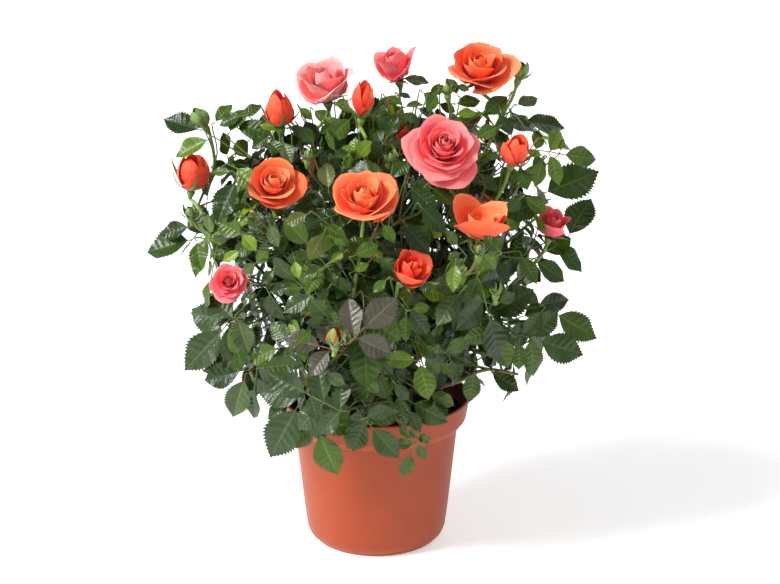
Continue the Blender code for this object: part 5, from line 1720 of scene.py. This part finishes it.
def petal_points(end, size, start, ruffle, peak, point, phase, turn_in):
    """A cupped petal in its bloom's frame: +X outwards, +Z along the bloom's axis."""
    u = np.linspace(0, 1, PETAL_STEPS + 1)
    ease = u * u * (3 - 2 * u)
    lip = np.clip((u - LIP_START) / (1 - LIP_START), 0, 1) ** LIP_POWER
    tilt = np.radians(lerp(end.foot, end.shoulder, ease) + (end.lip - end.shoulder) * lip)
    step = end.length * size / PETAL_STEPS
    reach = start + np.concatenate([[0], np.cumsum(np.sin(tilt[1:]) * step)])
    rise = np.concatenate([[0], np.cumsum(np.cos(tilt[1:]) * step)])
    rows = (np.linspace(0, 1, PETAL_ROWS + 1) ** ROW_POWER)[:, None]
    across = np.sin(np.linspace(-math.pi / 2, math.pi / 2, PETAL_COLUMNS + 1))[None, :]
    aside = np.abs(across)
    corners = CORNER_FALL * (1 - np.sqrt(1 - aside**3))
    fall = peak * aside**2 + corners - point * np.exp(-((across / POINT_WIDTH) ** 2))
    place = rows * (1 - fall * rows)
    place = place / (1 + max(point, 0.0))
    r = np.interp(place, u, reach)
    z = np.interp(place, u, rise)
    swell = np.sin(np.clip(rows, 0, 1) * math.pi * WIDEST_TURN) ** SWELL_POWER
    width = end.width * size * (CLAW_WIDTH + (1 - CLAW_WIDTH) * swell)
    wrap = np.maximum(r * end.hug, size * LEAST_WRAP)
    angle = np.clip(across * width / wrap, -MOST_WRAP, MOST_WRAP)
    x = r - wrap * (1 - np.cos(angle)) + turn_in * across * size
    y = wrap * np.sin(angle)
    x = x + end.roll * size * aside**3 * rows**3
    z = z - end.roll * size * ROLL_DOWN * aside**3 * rows**4
    waves = np.sin(across * 5 + phase) + 0.5 * np.sin(across * 11 + phase * 2)
    wave = ruffle * size * waves * rows**4
    return np.stack([x + wave * WAVE_OUT, y, z + wave], axis=2)


def placed(points, stand, azimuth):
    cosine, sine = math.cos(azimuth), math.sin(azimuth)
    turn = np.array(((cosine, -sine, 0), (sine, cosine, 0), (0, 0, 1)))
    matrix = np.array(stand)
    return (points.reshape(-1, 3) @ turn.T) @ matrix[:3, :3].T + matrix[:3, 3]


def sepal_points(size, tilt_foot, tilt_tip, curl, width):
    """A narrow pointed sepal in its bloom's frame, folded along its middle."""
    end = PetalEnd(1.0, 0.0, tilt_foot, tilt_tip, tilt_tip + curl, 1.0, 0.0)
    points = petal_points(end, size, SEPAL_START, 0.0, 0.0, 0.0, 0.0, 0.0)
    rows = np.linspace(0, 1, PETAL_ROWS + 1)
    half = width * (0.55 + 0.9 * rows) * (1 - rows) ** 0.75 * 0.9
    across = np.linspace(-1, 1, PETAL_COLUMNS + 1)
    points[:, :, 1] = half[:, None] * across[None, :]
    points[:, :, 0] -= (half[:, None] * SEPAL_FOLD) * across[None, :] ** 2
    return points


SEPAL_START = 0.0018
SEPAL_FOLD = 0.45
# Of each form's sepals: length, tilt at the foot and at the tip, curl of the tip, and half width.
SEPAL_LOOKS = {
    "full": (0.0125, 95, 128, 20, 0.0026),
    "open": (0.0125, 92, 120, 25, 0.0026),
    "half": (0.0135, 72, 84, 40, 0.0026),
    "bud": (0.0225, 66, 14, 16, 0.0036),
    "green": (0.0125, 56, -12, 8, 0.0028),
}


def petal_end(form, grown):
    """The form's petal that has grown so far, from 0 at the heart to 1 outside."""
    if grown < 0.5:
        return PetalEnd(*(lerp(a, b, grown * 2) for a, b in zip(form.inner, form.middle)))
    return PetalEnd(*(lerp(a, b, grown * 2 - 1) for a, b in zip(form.middle, form.outer)))


def style_of(bloom, number):
    hue = bloom.hue if bloom.hue != "green" else "orange"
    return STYLES.get(number, Style(bloom.form, 1.0, bloom.facing, hue))


def bloom_neck(bloom, number):
    """Where the hip of a bloom ends and its petals start."""
    style = style_of(bloom, number)
    sink = BLOOM_HEIGHT[bloom.form] * bloom.radius * FORMS[style.form].sink
    return np.array(bloom.middle) + np.array(style.shift) - unit(style.facing) * sink


def stalk_end(bloom, number):
    """Where a bloom's stalk ends inside the hip, and the way that the bloom faces."""
    facing = unit(style_of(bloom, number).facing)
    return bloom_neck(bloom, number) - facing * HIP_LENGTH * STALK_IN_HIP, facing


def rerouted(limb, points):
    """A limb along other points, as thick as this one at both ends."""
    return Limb(np.array(points), np.linspace(limb.radii[0], limb.radii[-1], len(points)))


def led_to_neck(limb, bloom, number):
    """A bloom's stalk with its end led into the hip, up the way that the bloom faces."""
    end, facing = stalk_end(bloom, number)
    points = [point for point in limb.points[:-1] if point[2] < end[2] - STALK_LEAD]
    points = points or [limb.points[0]]
    return rerouted(limb, points + [end - facing * STALK_LEAD * 0.5, end])


def steep_stalk(limb, bloom, number, masses, lost):
    """A bloom's stalk that rises steeply from a lower joint, not from one on a lost stalk."""
    end, facing = stalk_end(bloom, number)

    def cost(joint):
        rise = end[2] - joint[0][2]
        gone = np.linalg.norm(lost - joint[0], axis=1).min() < BEARING_REACH
        return math.hypot(*(end - joint[0])[:2]) + abs(rise - STEEP_RISE) + gone

    foot, way = min((joint for mass in masses.values() for joint in mass.joints), key=cost)
    start_way = way + np.array((0.0, 0.0, STEEP_START))
    end_way = facing + np.array((0.0, 0.0, STEEP_END))
    return rerouted(limb, bend(foot, start_way, end, end_way, STEEP_STEPS))


def make_bloom(pile, bloom, number):
    """A bloom or bud: its hip, its sepals and a spiral of petals."""
    chance = random.Random(BLOOM_SEED + number)
    style = style_of(bloom, number)
    size = bloom.radius * style.size
    facing = Vector(unit(style.facing))
    side = (Vector((1.0, 0.0, 0.0)) - facing * facing.x).normalized()
    stand = Matrix((side, facing.cross(side), facing)).transposed().to_4x4()
    stand.translation = Vector(bloom_neck(bloom, number))
    add_hip(pile, stand, HIP_RADIUS + size * HIP_SWELL)
    add_sepals(pile, stand, SEPAL_LOOKS[bloom.form], size, chance)
    form = FORMS[style.form]
    roll = chance.uniform(0, math.tau)
    for index in range(form.count):
        grown = (index / (form.count - 1)) ** GATHER
        end = petal_end(form, grown)
        end = end._replace(
            length=end.length * chance.uniform(*PETAL_LENGTHS),
            width=end.width * chance.uniform(*PETAL_WIDTHS),
            shoulder=end.shoulder + chance.uniform(*SHOULDER_WANDER),
            lip=end.lip + chance.uniform(*LIP_WANDER) * grown,
        )
        points = petal_points(
            end,
            size,
            size * (PETAL_START + form.rise * grown),
            chance.uniform(*RUFFLES) * form.ruffle * (HEART_RUFFLE + (1 - HEART_RUFFLE) * grown),
            form.peak * chance.uniform(*PEAKS),
            chance.uniform(*LIP_POINTS),
            chance.uniform(0, math.tau),
            HEART_TURN * (1 - grown),
        )
        azimuth = roll + index * GOLDEN_ANGLE + chance.uniform(-PETAL_WANDER, PETAL_WANDER)
        if style.form in SET_PETALS:
            azimuth = math.radians(SET_PETALS[style.form][index])
        shades = petal_shades(pile, bloom, number, style.hue, grown, chance)
        pile.add(placed(points, stand, azimuth), PETAL_FACES, shades)


def add_hip(pile, stand, radius):
    """The green hip under a bloom, which its stalk ends in."""
    angles = math.tau * np.arange(HIP_SIDES) / HIP_SIDES
    rounds = np.stack([np.cos(angles), np.sin(angles), np.zeros(HIP_SIDES)], axis=1)
    rings = [
        rounds * share * radius + (0.0, 0.0, (rise - 1) * HIP_LENGTH) for share, rise in HIP_OUTLINE
    ]
    faces = grid_faces(len(rings) - 1, HIP_SIDES, closed=True)
    pile.add(placed(np.array(rings), stand, 0.0), faces, "hip")


def add_sepals(pile, stand, looks, size, chance):
    """The ring of sepals round a bloom, each with pale edges."""
    length, foot, tip, curl, width = looks
    column = np.arange(len(PETAL_FACES)) % PETAL_COLUMNS
    at_edge = (column == 0) | (column == PETAL_COLUMNS - 1)
    pale, green = pile.palette.index("sepal_pale"), pile.palette.index("sepal")
    for place in range(SEPALS):
        share = lerp(SMALLEST_SEPAL, 1.0, min(1.0, size / LARGE_BLOOM))
        own = length * chance.uniform(*SEPAL_LENGTHS) * share
        own_foot = foot + chance.uniform(-SEPAL_FOOT_WANDER, SEPAL_FOOT_WANDER)
        own_tip = tip + chance.uniform(-SEPAL_TIP_WANDER, SEPAL_TIP_WANDER)
        points = sepal_points(own, own_foot, own_tip, curl * chance.uniform(*SEPAL_CURLS), width)
        azimuth = math.tau * place / SEPALS + chance.uniform(-SEPAL_WANDER, SEPAL_WANDER)
        pile.add(placed(points, stand, azimuth), PETAL_FACES, np.where(at_edge, pale, green))


def petal_shades(pile, bloom, number, hue, grown, chance):
    """Each face's shade: deep at the foot, painted shade of the folds; lighter to the lip; lighter to the
    heart, painted light against its shade and on orange blooms partly their coral heart; and, but on
    orange blooms, lighter outside.
    """
    row = np.arange(len(PETAL_FACES)) // PETAL_COLUMNS / (PETAL_ROWS - 1)
    # The lift at the heart is painted light against the heart's shade; on orange blooms it is partly
    # their lighter coral heart.
    heart = 1 - grown if hue == "orange" else 0.5 + 0.5 * abs(2 * grown - 1)
    warm = SHADE_START + SHADE_TO_LIP * row**2 + SHADE_TO_HEART * heart
    warm = warm + chance.uniform(-SHADE_WANDER, SHADE_WANDER)
    if bloom.form != "green":
        last = PETAL_SHADES - 1
        return np.clip(np.round(warm * last), 0, last).astype(int) + pile.palette.index(hue + "_0")
    shades = np.full(len(PETAL_FACES), pile.palette.index("hip"))
    if number == STRIPED_BUD:
        stripe = np.arange(len(PETAL_FACES)) % STRIPE_COLUMNS == 0
        shades[(row > STRIPE_START) & stripe] = pile.palette.index("red_2")
    return shades


# ---------------------------------------------------------------- pot and soil
def arc(middle, radius, first, last, steps):
    angles = np.radians(np.linspace(first, last, steps + 1))
    return [(middle[0] + radius * math.cos(a), middle[1] + radius * math.sin(a)) for a in angles]


# How far out from the foot's radius and up from the floor, and out from the body's top and up.
FOOT_STEP = ((0.0018, 0.0028), (0.0021, 0.0032), (0.0026, 0.0035), (0.0036, 0.0058))
SHOULDER_STEP = ((0.0, 0.0), (0.0012, 0.0005), (0.0022, 0.0014), (0.0034, 0.0034))


def pot_profile():
    """The pot's half section as a fine closed line, from the middle of its underside."""
    shoulder = POT_HEIGHT - RIM_BAND
    body_top = shoulder - SHOULDER_DROP
    line = [(0.010, 0.0006), (0.030, 0.0006), (0.0345, 0.0)]
    line += arc((FOOT_RADIUS - 0.0012, 0.0012), 0.0012, -90, -20, 5)
    line += [(FOOT_RADIUS + out, height) for out, height in FOOT_STEP]
    line += [(BODY_FOOT_RADIUS - 0.0002, BODY_FOOT_HEIGHT)]
    foot, top = np.array((BODY_FOOT_RADIUS, BODY_FOOT_HEIGHT)), np.array((BODY_TOP_RADIUS, body_top))
    line += [tuple(lerp(foot, top, share)) for share in (0.15, 0.3, 0.45, 0.6, 0.75, 0.88, 0.96)]
    line += [(BODY_TOP_RADIUS + out, body_top + up) for out, up in SHOULDER_STEP]
    line += [(RIM_BAND_FOOT_RADIUS - 0.0012, shoulder - 0.0006)]
    line += arc((RIM_BAND_FOOT_RADIUS - 0.0008, shoulder + 0.0004), 0.0008, -80, 5, 4)
    foot = np.array((RIM_BAND_FOOT_RADIUS, shoulder))
    top = np.array((RIM_RADIUS - 0.0001, POT_HEIGHT - 0.001))
    line += [tuple(lerp(foot, top, share)) for share in (0.25, 0.5, 0.75, 0.9)]
    line += arc((RIM_RADIUS - 0.0010, POT_HEIGHT - 0.0010), 0.0010, 5, 175, 8)
    wall = POT_WALL
    line += [(RIM_RADIUS - wall - 0.0004, POT_HEIGHT - 0.004), (RIM_BAND_FOOT_RADIUS - wall, shoulder)]
    line += [(BODY_TOP_RADIUS - wall, body_top), (BODY_FOOT_RADIUS - wall, BODY_FOOT_HEIGHT)]
    line += [(FOOT_RADIUS - wall, POT_FLOOR), (0.020, POT_FLOOR), (0.008, POT_FLOOR)]
    return line


def closed_lathe(name, line, segments, materials, material_name):
    angles = math.tau * np.arange(segments) / segments
    rounds = np.stack([np.cos(angles), np.sin(angles), np.zeros(segments)], axis=1)
    points = np.array([rounds * radius + (0.0, 0.0, height) for radius, height in line]).reshape(-1, 3)
    faces = [tuple(face) for face in grid_faces(len(line) - 1, segments, closed=True)]
    faces.append(tuple(range(segments))[::-1])
    faces.append(tuple(range(len(points) - segments, len(points))))
    mesh = bpy.data.meshes.new(name)
    mesh.from_pydata([tuple(point) for point in points], [], faces)
    shape = bmesh.new()
    shape.from_mesh(mesh)
    bmesh.ops.recalc_face_normals(shape, faces=shape.faces)
    shape.to_mesh(mesh)
    shape.free()
    mesh.materials.append(materials[material_name])
    return linked(name, mesh)


def make_pot(materials):
    """The pot, with its notches cut from the lower edge."""
    pot = closed_lathe("pot_shell", pot_profile(), POT_SIDES, materials, "terracotta")
    cutters = []
    for azimuth in NOTCH_AZIMUTHS:
        half = NOTCH_WIDTH / 2
        top = half * NOTCH_TOP_SHARE
        section = ((-half, -0.002), (half, -0.002), (top, NOTCH_HEIGHT), (-top, NOTCH_HEIGHT))
        reaches = (FOOT_RADIUS - 0.003, FOOT_RADIUS + 0.010)
        points = [(reach, across, height) for reach in reaches for across, height in section]
        faces = [(0, 1, 2, 3), (4, 7, 6, 5), (0, 4, 5, 1), (1, 5, 6, 2), (2, 6, 7, 3), (3, 7, 4, 0)]
        mesh = bpy.data.meshes.new("notch_cutter")
        mesh.from_pydata(points, [], faces)
        mesh.transform(Matrix.Rotation(math.radians(azimuth), 4, "Z"))
        cutter = linked("notch_cutter", mesh)
        cut = pot.modifiers.new("cut", "BOOLEAN")
        cut.object = cutter
        cutters.append(cutter)
    graph = bpy.context.evaluated_depsgraph_get()
    made = bpy.data.meshes.new_from_object(pot.evaluated_get(graph))
    pot.modifiers.clear()
    pot.data = made
    for cutter in cutters:
        bpy.data.objects.remove(cutter)
    made.shade_smooth()
    made.set_sharp_from_angle(angle=math.radians(50))
    return pot


POT_SIDES = 160
SOIL_SEGMENTS = 120
SOIL_RINGS = 34
SOIL_HUB = 0.0006
# The soil's lumps and grain: how many to the metre, where in the noise, and how high.
SOIL_LUMPS = ((90, 0.0, 0.0011), (320, 3.0, 0.0009))
SOIL_GRAIN = (900, 7.0, 0.0006)
SOIL_SINK = 0.0006
CRUMBS = 700
CRUMB_SEED = 11


def soil_edge():
    shoulder = POT_HEIGHT - RIM_BAND
    return RIM_BAND_FOOT_RADIUS - POT_WALL + (SOIL_TOP - shoulder) * 0.15 - GAP


def soil_height(x, y):
    """The lumpy top of the soil."""
    share = min(1.0, math.hypot(x, y) / soil_edge())
    lumps = sum(noise.noise(Vector((x, y, place)) * scale) * high for scale, place, high in SOIL_LUMPS)
    scale, place, high = SOIL_GRAIN
    lumps += abs(noise.noise(Vector((x, y, place)) * scale)) * high
    return SOIL_TOP + SOIL_DOME * (1 - share**2) + lumps - SOIL_SINK


def make_soil(materials):
    """The compost's lumpy top, its sides down inside the pot, and loose crumbs on it."""
    pile = Pile("compost", ("compost", "crumb"))

    def ring(radius):
        angles = math.tau * np.arange(SOIL_SEGMENTS) / SOIL_SEGMENTS
        return [(math.cos(angle) * radius, math.sin(angle) * radius) for angle in angles]

    rings = []
    for number in range(SOIL_RINGS + 1):
        radius = SOIL_HUB + (soil_edge() - SOIL_HUB) * number / SOIL_RINGS
        rings.append([(x, y, soil_height(x, y)) for x, y in ring(radius)])
    inset = POT_WALL + GAP
    sides = (
        (BODY_TOP_RADIUS - inset, POT_HEIGHT - RIM_BAND - SHOULDER_DROP),
        (BODY_FOOT_RADIUS - inset, BODY_FOOT_HEIGHT),
        (FOOT_RADIUS - inset, POT_FLOOR + GAP),
        (SOIL_HUB, POT_FLOOR + GAP),
    )
    rings += [[(x, y, height) for x, y in ring(radius)] for radius, height in sides]
    faces = grid_faces(len(rings) - 1, SOIL_SEGMENTS, closed=True)
    pile.add(np.array(rings)[::-1], faces, "compost")
    add_crumbs(pile)
    return pile.build(materials)


def add_crumbs(pile):
    """Loose crumbs that lie on the compost."""
    square = ((-1, -1), (1, -1), (1, 1), (-1, 1))
    corners = np.array([(x, y, z) for z in (-1, 1) for x, y in square], float)
    faces = np.array(((3, 2, 1, 0), (4, 5, 6, 7), (0, 1, 5, 4), (1, 2, 6, 5), (2, 3, 7, 6), (3, 0, 4, 7)))
    chance = np.random.default_rng(CRUMB_SEED)
    for number in range(CRUMBS):
        radius = soil_edge() * math.sqrt(chance.uniform(0.02, 0.94))
        angle = chance.uniform(0, math.tau)
        x, y = radius * math.cos(angle), radius * math.sin(angle)
        length = chance.uniform(0.0003, 0.0012)
        size = length * np.array((1.0, chance.uniform(0.5, 1.0), chance.uniform(0.4, 0.8)))
        turn = chance.uniform(0, math.tau)
        spin = np.array(Matrix.Rotation(turn, 3, Vector(chance.standard_normal(3))))
        lump = (corners * chance.uniform(0.55, 1.0, (8, 1)) * size) @ spin.T
        place = (x, y, soil_height(x, y) + size[2] * 0.4)
        pile.add(lump + place, faces, "crumb" if number % 3 else "compost")


# ---------------------------------------------------------------- floor, lights and camera
CAMERA_PLACE = (0.0089, -1.06, 0.4764)
CAMERA_PITCH = 16.5
CAMERA_LENS = 81.32
SENSOR = 36.0


def make_stage(materials):
    mesh = bpy.data.meshes.new("floor")
    mesh.from_pydata([(-9, -9, 0), (9, -9, 0), (9, 9, 0), (-9, 9, 0)], [], [(0, 1, 2, 3)])
    mesh.materials.append(materials["floor"])
    floor = linked("floor", mesh)


def sun_light(name, way, strength, angle):
    light = bpy.data.lights.new(name, "SUN")
    light.energy = strength
    light.angle = math.radians(angle)
    obj = linked(name, light)
    obj.location = Vector(way)
    obj.rotation_euler = Vector(way).to_track_quat("Z", "Y").to_euler()


def make_lights():
    sun_light("key", (-1.00, -0.46, 0.90), 4.7, 20.0)
    sun_light("fill", (0.60, -0.90, 0.70), 0.35, 70.0)
    sun_light("back", (0.50, 0.90, 0.90), 0.7, 60.0)
    world = bpy.data.worlds.new("studio")
    world.use_nodes = True
    background = world.node_tree.nodes["Background"]
    background.inputs["Color"].default_value = (1.0, 1.0, 1.0, 1.0)
    background.inputs["Strength"].default_value = 0.33
    bpy.context.scene.world = world
    bpy.context.scene.view_settings.view_transform = "Standard"


def make_camera():
    camera = bpy.data.cameras.new("camera")
    camera.sensor_width = SENSOR
    camera.sensor_fit = "HORIZONTAL"
    camera.lens = CAMERA_LENS
    obj = linked("camera", camera)
    obj.location = CAMERA_PLACE
    obj.rotation_euler = (math.radians(90 - CAMERA_PITCH), 0.0, 0.0)
    bpy.context.scene.camera = obj


# ---------------------------------------------------------------- the whole plant
# The masses of each tier, by how their names start. One piece for a tier would be too large.
TIERS = {
    "low": ("low",),
    "mid_front": ("mid_front", "mid_left"),
    "mid_back": ("mid_right", "mid_back"),
    "top": ("top",),
}


def names_in(tier):
    return [name for name in MASSES if name.startswith(TIERS[tier])]


TWIG_SEED = 40
TWIG_SIDES = 7
DRESS_SEED = 500
OLIVE_TWIGS = 0.3
THORNY_TWIGS = 0.35
MAIN_LIMB_THORNS = 2


def make_plant(crown, masses, materials):
    """Each tier's leaves, its twigs and its blooms, each kind in a piece of its own."""
    leaf_palette = ["leaf_" + tint for tint in LEAF_TINTS] + ["rib_" + tint for tint in LEAF_TINTS]
    petal_palette = [hue + "_" + str(number) for hue in PETAL_ENDS for number in range(PETAL_SHADES)]
    stem_palette = ("stem_fresh", "twig_green", "twig_olive", "stalk_red", "thorn")
    for tier in TIERS:
        leaves = Pile("leaves_" + tier, leaf_palette)
        stems = Pile("twigs_" + tier, stem_palette)
        blooms = Pile("blooms_" + tier, petal_palette + ["sepal", "sepal_pale", "hip"])
        for name in names_in(tier):
            mass = masses[name]
            chance = random.Random(MASSES[name].seed + DRESS_SEED)
            for number, limb in enumerate(mass.limbs):
                shade_name = "twig_olive" if chance.random() < OLIVE_TWIGS else "twig_green"
                if 0 < number <= len(crown.blooms[name]):
                    shade_name = "stem_fresh"
                    bloom = crown.blooms[name][number - 1]
                    limb = led_to_neck(limb, bloom, BLOOMS.index(bloom))
                thorny = number > 0 and chance.random() < THORNY_TWIGS
                thorns = int(thorny) if number else MAIN_LIMB_THORNS
                seed = TWIG_SEED + number
                add_limb(stems, limb.points, limb.radii, seed, shade_name, thorns, TWIG_SIDES)
            for leaf in mass.leaves:
                dress_leaf(leaf, leaves, stems, chance)
            for bloom in crown.blooms[name]:
                make_bloom(blooms, bloom, BLOOMS.index(bloom))
            for bud in mass.buds:
                make_bloom(blooms, bud, len(BLOOMS) + SHOWN_BUDS.index(bud))
        nodes = ["foliage_" + name for name in names_in(tier)]
        for pile in (leaves, stems, blooms):
            if pile.count:
                piece = pile.build(materials)
                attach(piece, "root")
                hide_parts(*nodes)


CANE_SEED = 100
CANE_THORNS = 4
CANE_SIDES = 10
CANE_RINGS = 40


def make_canes(crown, materials):
    """The canes with their bark and thorns, and the short stem that they rise from."""
    pile = Pile("canes", ("bark", "twig_olive", "thorn"))
    make_short_stem(pile)
    for number, (name, limb) in enumerate(crown.canes.items()):
        seed = CANE_SEED + number
        add_limb(pile, limb.points, limb.radii, seed, "bark", CANE_THORNS, CANE_SIDES, CANE_RINGS)
    piece = pile.build(materials)
    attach(piece, "root")
    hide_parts("short_stem", *("cane_" + name for name in MASSES))


def main():
    for obj in list(bpy.data.objects):
        bpy.data.objects.remove(obj)
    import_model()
    materials = make_materials()
    make_camera()
    make_lights()
    make_stage(materials)
    crown, masses = grow_crown()
    lost = steepen_stalks(crown, masses)
    crown.fine = True
    first_joints(crown, masses)
    root_again(crown, masses, lost)
    finer_boughs(crown, masses)
    shown_leaves(crown, masses)
    finer_leaves(crown, masses)
    make_canes(crown, materials)
    make_plant(crown, masses, materials)
    pot = make_pot(materials)
    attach(pot, "root")
    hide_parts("pot")
    soil = make_soil(materials)
    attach(soil, "root")
    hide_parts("soil")


main()
